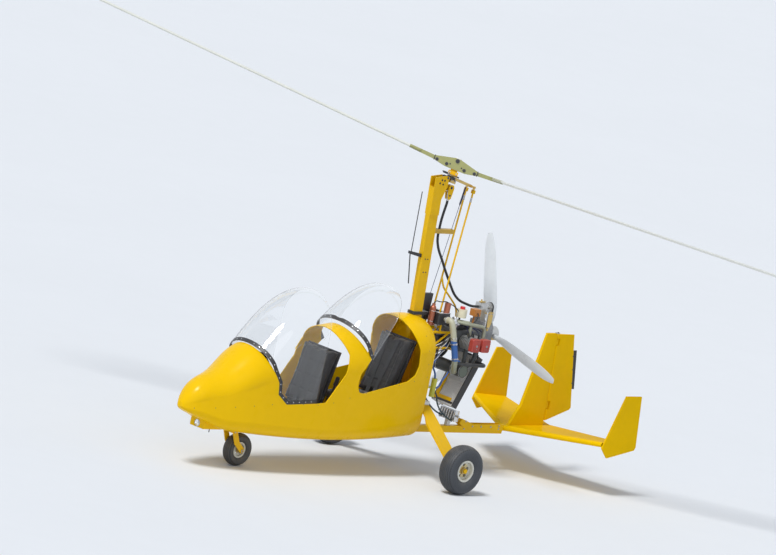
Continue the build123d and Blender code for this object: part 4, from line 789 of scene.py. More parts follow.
def hitOn(nodeName, start, way):
    if nodeName not in hitTrees:
        mesh = nodes[nodeName].data
        hitTrees[nodeName] = BVHTree.FromPolygons(
            [vert.co.copy() for vert in mesh.vertices], [tuple(face.vertices) for face in mesh.polygons]
        )
    place, normal, _, _ = hitTrees[nodeName].ray_cast(spot3(start), Vector(way))
    if place is None:
        return None, None
    return place / mm, normal if normal.dot(Vector(way)) < 0 else -normal


def hitSide(nodeName, side, y, z):
    return hitOn(nodeName, (side * sideReach, y, z), (-side, 0, 0))


def boltSide(form, nodeName, places, across, height, sides=(1, -1)):
    for side in sides:
        for y, z in places:
            place, normal = hitSide(nodeName, side, y, z)
            if place is not None:
                addBolt(form, place, (side, 0, 0), across, height)


# Floor
floorForm = bmesh.new()
bmesh.ops.create_grid(floorForm, x_segments=1, y_segments=1, size=studio["floorSize"] / 2)
floorMesh = bpy.data.meshes.new("studioFloor")
floorForm.to_mesh(floorMesh)
floorForm.free()
floorFinish = makeFinish(
    "floorPale", tone=studio["floorTone"], rough=0.85, drift=0.012, driftScale=0.4, grainScale=30.0,
    grain=0.02
)
floorMesh.materials.append(floorFinish)
studioFloor = bpy.data.objects.new("studioFloor", floorMesh)
bpy.context.scene.collection.objects.link(studioFloor)
print("floor laid")

# Windshield screws, set along the black trims
trimScrew = {
    "spacing": 68, "steps": 60, "radius": 5.5, "topRadius": 3.3, "sink": 0.5, "rise": 1.6, "sides": 12,
    "lines": (
        ((-2055, 1094), (-1847, 806), (-1829, 706), (-1728, 634), (-1400, 653)),
        ((-1034, 1312), (-842, 1048)),
    ),
}


def alongTrim(line, side):
    found = []
    for (startY, startZ), (endY, endZ) in zip(line, line[1:]):
        for step in range(trimScrew["steps"]):
            share = step / trimScrew["steps"]
            y, z = startY + (endY - startY) * share, startZ + (endZ - startZ) * share
            place, normal = hitSide("windshield_trims", side, y, z)
            if place is not None:
                found.append((place, normal))
    return found


screws = bmesh.new()
for line in trimScrew["lines"]:
    for side in (1, -1):
        travelled, last, due = 0.0, None, trimScrew["spacing"] * 0.5
        for place, normal in alongTrim(line, side):
            if last is not None:
                travelled += (place - last).length
            last = place
            if travelled >= due:
                due += trimScrew["spacing"]
                addScrew(screws, place, normal, trimScrew)
finishForm(screws, "windshield_screws", brightSteel, "airframe")
print("windshield screws set")

# Landing light ring and bulb, and the probe and drain of the nose
noseLook = {
    "ring": ((0, -2443.5, 366), (0, -1, 0), 30, 2.4, 40),
    "bulb": {"singleDrums": (((0, -2436, 366), (0, -2420, 366), 3, 8, 16),)},
    "pipes": {
        "singleDrums": (
            ((46, -2330, 372), (46, -2330, 296), 4),
            ((0, -2684, 527), (0, -2689.5, 527), 7, 5),
        ),
    },
}
lampRing = bmesh.new()
addRing(lampRing, *noseLook["ring"])
finishForm(lampRing, "lamp_ring", brightSteel, "airframe")
makeFitting("lamp_bulb", whiteStrap, "airframe", noseLook["bulb"])
makeFitting("nose_probe_and_drain", blackSatin, "airframe", noseLook["pipes"])
print("nose fittings set")

# Rotor head: bolts and bands on the hub bar, its cap, the ring gear's teeth and the tower's bolts
headLook = {
    "pivot": (0, -94.8, 2580.5), "up": (0, 0.2546, 0.967), "aft": (0, 0.967, -0.2546),
    "span": (0.7396, 0.6508, -0.1713), "chord": (-0.6729, 0.7152, -0.1883), "half": 29,
    "bolts": ((172, -48, 22), (80, -54, 22), (52, -44, 10), (0, 0, 28)),  # along, rise, across
    "band": (196, -39), "bandSize": (7, 62, 44),
    "cap": ((21, (54, 56, 10), 2.5), (27, (30, 40, 4), 1)),
    "towerBolt": {"along": 30, "drop": 107, "ends": (29, 33), "radius": 6},
    "drum": ((-163, 41), (-137, 38)),
}
headUp, headAft = Vector(headLook["up"]), Vector(headLook["aft"])
headSpan, headChord = Vector(headLook["span"]), Vector(headLook["chord"])
hub, pivot = Vector(hubMiddle), Vector(headLook["pivot"])
headTurn = Matrix((Vector((1, 0, 0)), headAft, headUp)).transposed()
rotorTurn = Matrix((headSpan, headChord, headUp)).transposed()


def onHub(along, out, rise):
    return hub + headSpan * along + headChord * out + headUp * rise


def onHead(across, aft, rise):
    return pivot + Vector((across, 0, 0)) + headAft * aft + headUp * rise


hubBolts, hubWashers = bmesh.new(), bmesh.new()
for face in (1, -1):
    outward = headChord * face
    for along, rise, across in headLook["bolts"]:
        for side in (1, -1) if along else (1,):
            middle = onHub(side * along, face * headLook["half"], rise)
            seat = middle + outward
            shoulder, end = middle + outward * across * 0.42, middle + outward * across * 0.6
            addDrum(hubWashers, middle - outward, middle + outward * 1.5, across * 0.68, sides=20)
            addDrum(hubBolts, seat, shoulder, across * 0.56, sides=6)
            addDrum(hubBolts, shoulder, end, across * 0.26, sides=12)
finishForm(hubBolts, "hub_bolts", blackSatin, "rotor")
finishForm(hubWashers, "hub_washers", darkSteel, "rotor")
hubBands, teeterCap = bmesh.new(), bmesh.new()
for side in (1, -1):
    along, rise = headLook["band"]
    addBox(hubBands, onHub(side * along, 0, rise), headLook["bandSize"], rotorTurn, 1)
for rise, size, rounding in headLook["cap"]:
    addBox(teeterCap, onHub(0, 0, rise), size, rotorTurn, rounding)
finishForm(hubBands, "hub_bands", blackSatin, "rotor")
finishForm(teeterCap, "teeter_cap", machinedAlloy, "rotor")

gearLook = {"teeth": 60, "drop": 127.5, "radius": 62.6, "tooth": (3.4, 3.2, 10)}
ringTeeth, towerTrim = bmesh.new(), bmesh.new()
for index in range(gearLook["teeth"]):
    angle = 2 * pi * index / gearLook["teeth"]
    outward = Vector((1, 0, 0)) * cos(angle) + headAft * sin(angle)
    turn = Matrix((outward, headUp.cross(outward), headUp)).transposed()
    addBox(ringTeeth, hub - headUp * gearLook["drop"] + outward * gearLook["radius"], gearLook["tooth"], turn)
finishForm(ringTeeth, "ring_gear_teeth", darkSteel, "rotor_tower")
towerBolt = headLook["towerBolt"]
for side in (1, -1):
    for along in (-towerBolt["along"], towerBolt["along"]):
        low, high = [onHub(along, side * out, -towerBolt["drop"]) for out in towerBolt["ends"]]
        addDrum(towerTrim, low, high, towerBolt["radius"], sides=10)
finishForm(towerTrim, "tower_bolts", boltSteel, "rotor_tower")

# Rotor brake on the head: a dark pad block, its pin, lever and spring ring
brakeLook = {
    "boxes": (((0, -22, 38), (34, 34, 18), 3), ((-12, -32, 40), (6, 40, 8), 2)),
    "bush": ((-14, -20, 38), (14, -20, 38), 5.5),
    "pin": ((-18, -20, 38), (18, -20, 38), 2.6),
    "ring": ((24, -6, 36), (1, 0.2, 0), 11, 3), "lever": ((22, 20, 30), (8, 26, 8), 1.5),
    "sideBolts": ((30, 58), (30, 98)),
}
headParts, headDark = bmesh.new(), bmesh.new()
for middle, size, rounding in brakeLook["boxes"]:
    addBox(headDark, onHead(*middle), size, headTurn, rounding)
for form, key, sides in ((headDark, "bush", 16), (headParts, "pin", 12)):
    start, end, radius = brakeLook[key]
    addDrum(form, onHead(*start), onHead(*end), radius, sides=sides)
for side in (1, -1):
    for across, aft in brakeLook["sideBolts"]:
        addBolt(headParts, onHead(side * across, aft, 0), (side, 0, 0), 12, 5)
(lowDrop, lowRadius), (highDrop, highRadius) = headLook["drum"]
addDrum(headDark, hub + headUp * lowDrop, hub + headUp * highDrop, lowRadius, highRadius, 36)
middle, axis, radius, thick = brakeLook["ring"]
addRing(headParts, onHead(*middle), axis, radius, thick, 24, 8)
middle, size, rounding = brakeLook["lever"]
addBox(headParts, onHead(*middle), size, headTurn, rounding)
finishForm(headDark, "rotor_brake", blackSatin, "head_block")
finishForm(headParts, "head_bolts", boltSteel, "head_block")

# Top of the prerotator shaft: drive end, silver sleeve and two cheek plates
shaftLook = {
    "foot": (0, -22, 2452), "top": (0, -10, 2504), "radius": 6.5, "collarTop": (0, -19, 2466),
    "box": ((0, -9, 2507), (16, 16, 14)), "arm": ((-14, -128, 2462), (14, -14, 2467)),
    "sleeve": {
        "singleDrums": (
            ((0, -11.5, 2377), (0, -13.2, 2401), 12.4),
            ((0, -13.2, 2400), (0, -22, 2454), 12.4),
        ),
    },
    "cheek": (
        (-30, 2392), (-12, 2384), (4, 2398), (16, 2450), (22, 2490), (12, 2512), (-10, 2518), (-38, 2512),
        (-44, 2460),
    ),
    "cheekFrom": 15, "cheekThick": 4, "cheekBolts": ((-16, 2424, 11), (-12, 2492, 16)),
}
driveEnd = bmesh.new()
addDrum(driveEnd, shaftLook["foot"], shaftLook["top"], shaftLook["radius"], sides=20)
addDrum(driveEnd, shaftLook["foot"], shaftLook["collarTop"], 13, 11, 20)
addBox(driveEnd, *shaftLook["box"], Matrix.Rotation(radians(-12), 3, "X"), 2)
addBlock(driveEnd, *shaftLook["arm"], 1)
finishForm(driveEnd, "drive_end", brightSteel, "airframe")
makeFitting("shaft_sleeve", brightSteel, "airframe", shaftLook["sleeve"])
shaftCheeks, cheekBolts = bmesh.new(), bmesh.new()
for side in (1, -1):
    corners = [(side * shaftLook["cheekFrom"], y, z) for y, z in shaftLook["cheek"]]
    addPlate(shaftCheeks, corners, shaftLook["cheekThick"], (side, 0, 0))
    outside = side * (shaftLook["cheekFrom"] + shaftLook["cheekThick"])
    for y, z, across in shaftLook["cheekBolts"]:
        addBolt(cheekBolts, (outside, y, z), (side, 0, 0), across, 4)
finishForm(cheekBolts, "cheek_bolts", darkSteel, "airframe")
finishForm(shaftCheeks, "shaft_cheeks", frameYellow, "airframe")
print("rotor head dressed")

# Mast: side screws in pairs, bolts at its top, and wires down its back
mastLook = {
    "pairs": ((1860, 15), (1745, 15)), "foot": (-44, 396), "lean": 0.0664,
    "screw": {"radius": 6.5, "topRadius": 5.5, "sink": 1, "rise": 3, "sides": 14},
    "topBolts": ((-160, 2560), (-180, 2532), (-128, 2556), (-140, 2522)),
    "wires": (
        (
            (-12, -67, 1420), (-12, -68, 1600), (-12, -82, 1850), (-12, -100, 2080), (-12, -118, 2400),
            (-10, -110, 2470),
        ),
        ((10, -67, 1420), (10, -70, 1600), (10, -84, 1850), (10, -102, 2080), (10, -120, 2380)),
    ),
}
mastBolts = bmesh.new()
footY, footZ = mastLook["foot"]
for z, half in mastLook["pairs"]:
    middleY = footY - (z - footZ) * mastLook["lean"]
    for side in (1, -1):
        for shift in (-half, half):
            place, normal = hitSide("mast", side, middleY + shift, z)
            if place is not None:
                addScrew(mastBolts, place, normal, mastLook["screw"])
boltSide(mastBolts, "mast", mastLook["topBolts"], 11, 5)
finishForm(mastBolts, "mast_bolts", blackSatin, "airframe")
runLines("mast_wires", mastLook["wires"], 3.2, blackRubber, "airframe")
print("mast dressed")

# Control rods: lock nuts and sleeves near both ends
rodLook = {"foot": (44, 122, 1205), "way": (0, 0.0875, 0.9962), "nutsAt": (60, 1180), "steps": (0, 9, 40)}
rodNuts = bmesh.new()
rodWay = Vector(rodLook["way"])
for side in (1, -1):
    foot = Vector(flip(rodLook["foot"], side))
    for along in rodLook["nutsAt"]:
        low, middle, high = [foot + rodWay * (along + more) for more in rodLook["steps"]]
        addDrum(rodNuts, low, middle, 10.5, sides=6)
        addDrum(rodNuts, middle, high, 9.2, 8.4, 16)
finishForm(rodNuts, "rod_nuts", boltSteel, "pushrods")

# Trim spring: an open coil over a sleeve, with its cable
springLook = {
    "low": (0, 10, 1500), "high": (0, 176, 2509.2), "length": 140, "turns": 17, "steps": 8, "radius": 8,
    "wire": 2.0, "gapAbove": 20, "eyeGap": 4, "eye": (6, 2, 16, 6), "sleeve": 5.6, "cable": 2.4,
}
cableLow, cableHigh = Vector(springLook["low"]), Vector(springLook["high"])
cableWay = (cableHigh - cableLow).normalized()
springTop = cableHigh - cableWay * springLook["gapAbove"]
springFoot = springTop - cableWay * springLook["length"]
sideWay = Vector((1, 0, 0))
backWays = cableWay.cross(sideWay)
coil = []
coilSteps = springLook["turns"] * springLook["steps"]
for step in range(coilSteps + 1):
    angle = 2 * pi * step / springLook["steps"]
    outward = sideWay * cos(angle) + backWays * sin(angle)
    down = springLook["length"] * step / coilSteps
    coil.append(springTop - cableWay * down + outward * springLook["radius"])
wire = springLook["wire"]
coilPiece = runLines("spring_coil", (coil,), wire, springBlue, "trim_spring", 4, 3, 2)
springBits = bmesh.new()
addDrum(springBits, springTop + cableWay * 2, springFoot - cableWay * 2, springLook["sleeve"], sides=16)
for end in (springTop + cableWay * springLook["eyeGap"], springFoot - cableWay * springLook["eyeGap"]):
    addRing(springBits, end, (1, 0, 0), *springLook["eye"])
addDrum(springBits, cableLow, springFoot, springLook["cable"], sides=10)
addDrum(springBits, springTop, cableHigh, springLook["cable"], sides=10)
cablePiece = finishForm(springBits, "spring_cable", springBlue, "trim_spring")
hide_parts("trim_spring")
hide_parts("trim_spring")
print("controls dressed")

# Engine: barrel fins, cover ribs and bolts, plugs and leads
engineLook = {
    "barrels": (422, 543), "height": 1172,
    "fins": 7, "finFrom": 122, "finTo": 228, "finThick": 5, "finRadius": 58,
    "studs": (-30, 30), "studFrom": 112, "studTo": 236, "studRadius": 30,
    "cover": 284.3, "coverPlate": (3, 32, 40), "ribs": (-22, 0, 22), "rib": (2, 30, 49.4, 2),
    "plugs": (196, 48), "plugShifts": (-26, 26), "capHeight": 26, "capEnd": (10, 40),
}
fins = bmesh.new()
for side in (1, -1):
    for y in engineLook["barrels"]:
        for index in range(engineLook["fins"]):
            share = index / (engineLook["fins"] - 1)
            x = engineLook["finFrom"] + (engineLook["finTo"] - engineLook["finFrom"]) * share
            near, far = [(side * out, y, engineLook["height"]) for out in (x, x + engineLook["finThick"])]
            addDrum(fins, near, far, engineLook["finRadius"], sides=28)
        for rise in engineLook["studs"]:
            z = engineLook["height"] + rise
            near, far = (side * engineLook["studFrom"], y, z), (side * engineLook["studTo"], y, z)
            addDrum(fins, near, far, engineLook["studRadius"], sides=20)
finishForm(fins, "barrel_fins", finAlloy, "airframe")
coverTrim, coverBolts, plugs = bmesh.new(), bmesh.new(), bmesh.new()
level = engineLook["height"]
for side in (1, -1):
    face = side * engineLook["cover"]
    for y in engineLook["barrels"]:
        thick, halfWide, halfHigh = engineLook["coverPlate"]
        far = face + side * thick
        addBlock(
            coverTrim, (face, y - halfWide, level - halfHigh), (far, y + halfWide, level + halfHigh), 1.4
        )
        ribOut, ribIn, ribWide, ribHigh = engineLook["rib"]
        for rise in engineLook["ribs"]:
            addBlock(
                coverTrim, (face - side * ribIn, y - ribWide, level + rise - ribHigh),
                (face - side * ribOut, y + ribWide, level + rise + ribHigh), 0.5,
            )
        addBolt(coverBolts, (far, y, level), (side, 0, 0), 13, 6)
        addBolt(coverBolts, (far, y, level - 26), (side, 0, 0), 6, 3, False)
finishForm(coverTrim, "cover_ribs", brickRed, "airframe")
finishForm(coverBolts, "cover_bolts", boltSteel, "airframe")
leads = []
plugOut, plugRise = engineLook["plugs"]
capIn, capRise = engineLook["capEnd"]
for side in (1, -1):
    for y in engineLook["barrels"]:
        for shift in engineLook["plugShifts"]:
            base = Vector((side * plugOut, y + shift, level + plugRise))
            bend = base + Vector((0, 0, engineLook["capHeight"]))
            top = base + Vector((-side * capIn, 0, capRise))
            addDrum(plugs, base, bend, 8.5, 7, 14)
            addDrum(plugs, bend, top, 7, 5, 14)
            row = len(leads) % 4
            leads.append(
                (
                    top, top + Vector((-side * 16, -6, 26)), (side * 140, 400 + row * 14, 1304),
                    (side * 92, 380 + row * 18, 1312), (side * 46, 372 + row * 20, 1296),
                )
            )
finishForm(plugs, "plug_caps", mouldedBlack, "airframe")
runLines("plug_leads", leads, 3.6, springBlue, "airframe")

# Engine fittings, each a table of drums and blocks
ignitionLook = {
    "pairedBlocks": (((18, 364, 1258), (66, 448, 1308), 5),),
    "singleBlocks": (((-70, 458, 1258), (52, 548, 1286), 5),),
}
carburettorLook = {
    "pairedBlocks": (((112, 212, 1300), (160, 268, 1352), 6),),
    "pairedDrums": (
        ((136, 240, 1352), (136, 240, 1386), 25, 22, 28),
        ((136, 240, 1386), (136, 240, 1394), 12, 8, 20),
        ((136, 196, 1326), (136, 300, 1330), 19),
    ),
}
bowlLook = {
    "pairedDrums": (
        ((136, 240, 1262), (136, 240, 1300), 27, 30, 28),
        ((160, 240, 1330), (178, 240, 1330), 6, 6, 12),
    ),
}
filterLook = {
    "singleDrums": (
        ((-58, 330, 1142), (-58, 262, 1142), 37, 36, 32),
        ((58, 330, 1130), (58, 286, 1130), 26, 24, 24),
        ((0, 330, 1200), (0, 300, 1200), 44, 40, 32),
    ),
}
breatherLook = {
    "singleDrums": (
        ((58, 31, 1300), (58, 31, 1452), 26, 26, 36),
        ((58, 31, 1452), (58, 31, 1466), 26, 17, 36),
        ((58, 31, 1466), (58, 31, 1484), 15, 15, 24),
    ),
}
makeFitting("ignition_boxes", mouldedBlack, "airframe", ignitionLook)
makeFitting("carburettors", brightSteel, "airframe", carburettorLook)
makeFitting("carburettor_bowls", castAlloy, "airframe", bowlLook)
makeFitting("oil_filter", blackSatin, "airframe", filterLook)
makeFitting("breather_can", copperCan, "airframe", breatherLook)
canBands, boxLid = bmesh.new(), bmesh.new()
for z in (1330, 1420):
    addRing(canBands, (58, 31, z), (0, 0, 1), 26.4, 2.4, 36, 8)
    addBlock(canBands, (50, 55, z - 7), (66, 62, z + 7), 1)
for side in (1, -1):
    addBlock(boxLid, (side * 66, 60, 1410), (side * 120, 200, 1414), 1)
    for y in (74, 186):
        addBolt(boxLid, (side * 112, y, 1414), (0, 0, 1), 8, 4)
addBlock(boxLid, (-66, 166, 1410), (66, 200, 1414), 1)
finishForm(canBands, "can_bands", brightSteel, "airframe")
finishForm(boxLid, "airbox_lid", brightSteel, "airframe")
print("engine top dressed")

# Thick coolant sleeve down the port side with its clamps
hoseLook = {
    "hose_sleeve_pale": {
        "route": ((150, 140, 1362), (196, 138, 1374), (212, 152, 1330), (212, 182, 1262), (213, 205, 1196)),
        "radius": 27, "finish": hoseTwoTone, "slot": "pale_pipe",
    },
    "hose_sleeve_blue": {
        "route": ((213, 205, 1194), (217, 218, 1150), (222, 236, 1090), (227, 256, 1026)),
        "radius": 28.5, "finish": hoseTwoTone, "slot": "blue_hose",
    },
    "hose_elbow": {
        "route": ((226, 252, 1040), (229, 258, 985), (214, 272, 938), (184, 304, 915), (158, 352, 918)),
        "radius": 25, "finish": pipeSteel, "slot": "pale_pipe",
    },
}
clampLook = {
    "wire": 2.2, "half": 3, "screwBox": (8, 14, 11),
    "places": (  # middle, way of the hose, radius
        ((150, 140, 1362), (1, 0, 0.1), 27), ((212, 196, 1222), (0, 0.3, -1), 27.6),
        ((215, 212, 1172), (0.1, 0.3, -1), 29), ((226, 250, 1046), (0.1, 0.33, -1), 29),
    ),
}
for name, hose in hoseLook.items():
    runLines(name, (hose["route"],), hose["radius"], hose["finish"], "airframe", 3, 10, 5)
clamps = bmesh.new()
for middle, axis, radius in clampLook["places"]:
    middle, way = Vector(middle), Vector(axis).normalized()
    for shift in (-clampLook["half"], clampLook["half"]):
        addRing(clamps, middle + way * shift, way, radius, clampLook["wire"], 36, 6)
    addBox(clamps, middle + Vector((radius + 3, 0, 0)), clampLook["screwBox"], upright, 1.5)
finishForm(clamps, "hose_clamps", brightSteel, "airframe")

# Thin lines and wires round the engine
lineLook = {
    "oil_lines": {
        "radius": 8, "finish": bluePlastic, "slot": "blue_hose",
        "routes": (
            (
                (119, 318, 900), (119, 300, 862), (119, 262, 823), (110, 256, 769), (102, 222, 742),
                (100, 206, 760),
            ),
            (
                (60, 286, 1130), (90, 240, 1100), (100, 150, 1000), (100, 118, 950), (100, 190, 870),
                (100, 190, 826),
            ),
        ),
    },
    "drain_lines": {
        "radius": 7, "finish": tealRubber, "slot": "blue_hose",
        "routes": (
            (
                (100, 214, 720), (100, 256, 690), (92, 285, 611), (80, 371, 532), (70, 476, 475),
                (50, 560, 445),
            ),
            (
                (-58, 262, 1142), (-96, 210, 1080), (-100, 180, 900), (-90, 240, 700), (-70, 420, 500),
                (-60, 545, 470),
            ),
        ),
    },
    "black_lines": {
        "radius": 4.5, "finish": blackRubber, "slot": "black_rubber",
        "routes": (
            ((136, 300, 1330), (150, 330, 1340), (140, 380, 1330), (110, 420, 1300)),
            ((-136, 300, 1330), (-150, 330, 1340), (-140, 380, 1330), (-110, 420, 1300)),
            ((58, 31, 1484), (58, 40, 1512), (76, 90, 1500), (92, 140, 1514), (92, 168, 1500)),
            ((92, 168, 1500), (110, 230, 1480), (96, 300, 1440), (100, 320, 1420)),
            ((160, 240, 1330), (190, 200, 1290), (180, 120, 1180), (150, 60, 1080), (130, 30, 980)),
            ((128, 519, 1426), (150, 520, 1400), (140, 470, 1330), (100, 430, 1300)),
            ((-64, 500, 1286), (-90, 430, 1330), (-40, 250, 1360), (-30, 200, 1400)),
            ((150, 330, 1160), (176, 250, 1130), (170, 120, 1100), (160, 63, 1074), (140, 30, 1040)),
        ),
    },
    "pale_wires": {
        "radius": 3.5, "finish": whiteStrap, "slot": "cream_plastic",
        "routes": (
            ((60, 300, 1180), (120, 220, 1150), (150, 130, 1120), (164, 70, 1060), (140, 30, 1010)),
            ((70, 310, 1150), (130, 230, 1110), (150, 140, 1070), (168, 90, 1020), (130, 30, 960)),
            ((80, 300, 1210), (140, 200, 1190), (160, 110, 1160), (150, 50, 1130), (120, 20, 1100)),
        ),
    },
}
for name, look in lineLook.items():
    runLines(name, look["routes"], look["radius"], look["finish"], "airframe")
print("hoses and wires laid")

# Gearbox and prerotator: bolts, gold drive bracket, pale strip, belt
driveLook = {
    "sideBolts": ((676, 1130), (676, 1280), (784, 1150), (784, 1268), (730, 1126), (730, 1290)),
    "postBolts": ((36, 652, 1345), (36, 652, 1400), (36, 652, 1460)),
    "plate": (
        (81, 700, 1428), (81, 756, 1428), (81, 754, 1332), (81, 730, 1262), (81, 714, 1262), (81, 702, 1332),
    ),
    "plateThick": 5, "plateBolts": ((86, 712, 1412), (86, 744, 1412), (86, 722, 1285)),
    "shelf": ((30, 700, 1404), (84, 756, 1410), 1), "arm": ((-2, 640, 1496), (22, 700, 1506), 2),
    "peg": ((0, 668, 1490), (0, 668, 1520), 8, 6, 16),
    "strip": {"singleBlocks": (((80, 683, 1290), (84, 693, 1428), 1),)},
}
beltLook = {
    "y": 781, "low": 1296, "high": 1450, "halfLow": 38, "halfHigh": 47.5, "steps": 12, "wide": 16, "thick": 3,
}
gearTrim, goldTrim = bmesh.new(), bmesh.new()
boltSide(gearTrim, "gearbox", driveLook["sideBolts"], 11, 5)
for side in (1, -1):
    for place in driveLook["postBolts"]:
        addBolt(gearTrim, flip(place, side), (side, 0, 0), 9, 4)
for place in driveLook["plateBolts"]:
    addBolt(gearTrim, place, (1, 0, 0), 9, 4)
addPlate(goldTrim, driveLook["plate"], driveLook["plateThick"], (1, 0, 0))
addBlock(goldTrim, *driveLook["shelf"])
addBlock(goldTrim, *driveLook["arm"])
addDrum(goldTrim, *driveLook["peg"])
finishForm(gearTrim, "gearbox_bolts", boltSteel, "airframe")
finishForm(goldTrim, "drive_bracket", goldPlate, "airframe")
makeFitting("drive_strip", whiteStrap, "airframe", driveLook["strip"])
beltRun = [(-beltLook["halfLow"], beltLook["y"], beltLook["low"])]
for step in range(beltLook["steps"] + 1):
    angle = pi - pi * step / beltLook["steps"]
    x, rise = beltLook["halfHigh"] * cos(angle), beltLook["halfHigh"] * sin(angle)
    beltRun.append((x, beltLook["y"], beltLook["high"] + rise))
beltRun.append((beltLook["halfLow"], beltLook["y"], beltLook["low"]))
belt = bmesh.new()
addStrip(belt, beltRun, (0, beltLook["wide"], 0), beltLook["thick"])
finishForm(belt, "prerotator_belt", blackRubber, "airframe")
print("drive dressed")

# Silencer: end plates and the bands round its can and pipes
silencerLook = {
    "ends": {"pairedDrums": (((199.5, 412, 924), (203, 412, 924), 50, 46, 40),)},
    "bands": (  # middle, axis, radius, thickness, steps
        ((196, 412, 924), (1, 0, 0), 55.3, 1.8, 44), ((90, 412, 924), (1, 0, 0), 55.4, 2.2, 44),
        ((170, 430, 990), (0, 0.2, 1), 20.5, 2, 28),
    ),
}
makeFitting("silencer_ends", canEnd, "airframe", silencerLook["ends"])
canTrim = bmesh.new()
for side in (1, -1):
    for middle, axis, radius, thick, steps in silencerLook["bands"]:
        addRing(canTrim, flip(middle, side), axis, radius, thick, steps, 6)
finishForm(canTrim, "silencer_bands", boltSteel, "airframe")

# Radiator: painted edge, strap and cap, placed by across, rise and front on its face
radTilt = radians(radLook["tilt"])
radTurn = Matrix.Rotation(-radTilt, 3, "X")
radUp, radFront = Vector((0, sin(radTilt), cos(radTilt))), Vector((0, -cos(radTilt), sin(radTilt)))
radBoxes = {
    "radiator_edge": (((-100, -18, 29), (38, 7, 400), 1), ((-10, -188, 27), (180, 4, 34), 1)),
    "radiator_strap": (((6, -16, 29), (222, 4, 8), 0.8), ((98, -20, 31), (16, 7, 17), 2)),
    "radiator_cap": (((0, -214, 29), (226, 5, 20), 1),),
}


def onRad(across, rise, front):
    return Vector(radLook["middle"]) + Vector((across, 0, 0)) + radUp * rise + radFront * front


for name, finish, slotName in (
    ("radiator_edge", frameYellow, "yellow_frame"), ("radiator_strap", whiteStrap, "cream_plastic"),
    ("radiator_cap", blackSatin, "black_plastic"),
):
    form = bmesh.new()
    for middle, size, rounding in radBoxes[name]:
        addBox(form, onRad(*middle), size, radTurn, rounding)
    if name == "radiator_cap":  # the neck, the cap and a slanted bar go with it
        addDrum(form, onRad(60, 232, 0), onRad(60, 262, 0), 22, 20, 28)
        addDrum(form, onRad(60, 262, 0), onRad(60, 270, 0), 27, 25, 28)
        addBox(form, onRad(60, 150, 28), (6, 4, 160), radTurn @ Matrix.Rotation(radians(-14), 3, "Y"), 1)
    finishForm(form, name, finish, "airframe")

# Oil cooler: leaning fins with dark blocks in the gaps between them as painted shade, end plates and unions
coolerLook = {
    "fins": 6, "first": -72, "pitch": 30, "middle": (564, 497), "lean": 12,
    "fin": (14, 56, 84), "gap": (7, 54, 84), "gapShift": -13, "ends": ((86, 538, 448), (94, 590, 546)),
    "fittings": (  # x, y, z, width
        (-62, 520, 572, 26), (-20, 528, 584, 30), (24, 530, 576, 24), (62, 536, 590, 20), (-92, 512, 560, 18),
    ),
    "union": ((104, 560, 500), (126, 560, 500), 12, 9, 20),
}
coolerFins, coolerGapShade, coolerBits = bmesh.new(), bmesh.new(), bmesh.new()
leanTurn = Matrix.Rotation(radians(coolerLook["lean"]), 3, "Y")
for index in range(coolerLook["fins"]):
    x = coolerLook["first"] + index * coolerLook["pitch"]
    addBox(coolerFins, (x, *coolerLook["middle"]), coolerLook["fin"], leanTurn, 0.6)
    # a dark block in each gap between the fins: painted shade
    addBox(coolerGapShade, (x + coolerLook["gapShift"], *coolerLook["middle"]), coolerLook["gap"], leanTurn, 0.6)
for side in (1, -1):
    addBlock(coolerFins, *[flip(corner, side) for corner in coolerLook["ends"]], 1)
    start, end, *rest = coolerLook["union"]
    addDrum(coolerBits, flip(start, side), flip(end, side), *rest)
for x, y, z, wide in coolerLook["fittings"]:
    addBox(coolerBits, (x, y, z), (wide, 22, 18), Matrix.Rotation(radians(x * 0.9), 3, "Y") @ radTurn, 4)
finishForm(coolerGapShade, "cooler_gap_shade", darkSteel, "airframe")
finishForm(coolerFins, "cooler_fins", brightSteel, "airframe")
finishForm(coolerBits, "cooler_fittings", brightSteel, "airframe")
print("cooling dressed")

# Propeller: bolts and cap on its hub, collars on the blade roots
propLook = {
    "centre": (0, 854, 1225), "face": 902, "first": -16.6, "blades": 3, "bolts": 6, "boltRing": 38,
    "cap": (8, 15, 12), "collarsAt": (66, 84), "collar": (24, 2.6, 30, 8),
}
propBolts, propCollars = bmesh.new(), bmesh.new()
propCentre, propFace = Vector(propLook["centre"]), propLook["face"]
for index in range(propLook["bolts"]):
    angle = 2 * pi * index / propLook["bolts"]
    x, rise = propLook["boltRing"] * cos(angle), propLook["boltRing"] * sin(angle)
    addBolt(propBolts, (x, propFace, propCentre.z + rise), (0, 1, 0), 12, 7)
capLength, capRadius, capTop = propLook["cap"]
capStart, capEnd = (0, propFace, propCentre.z), (0, propFace + capLength, propCentre.z)
addDrum(propBolts, capStart, capEnd, capRadius, capTop, 24)
for index in range(propLook["blades"]):
    angle = radians(propLook["first"] + 360 / propLook["blades"] * index)
    outward = Vector((sin(angle), 0, cos(angle)))
    for far in propLook["collarsAt"]:
        addRing(propCollars, propCentre + outward * far, outward, *propLook["collar"])
finishForm(propBolts, "propeller_bolts", boltSteel, "propeller")
finishForm(propCollars, "propeller_collars", machinedAlloy, "propeller")
print("propeller dressed")

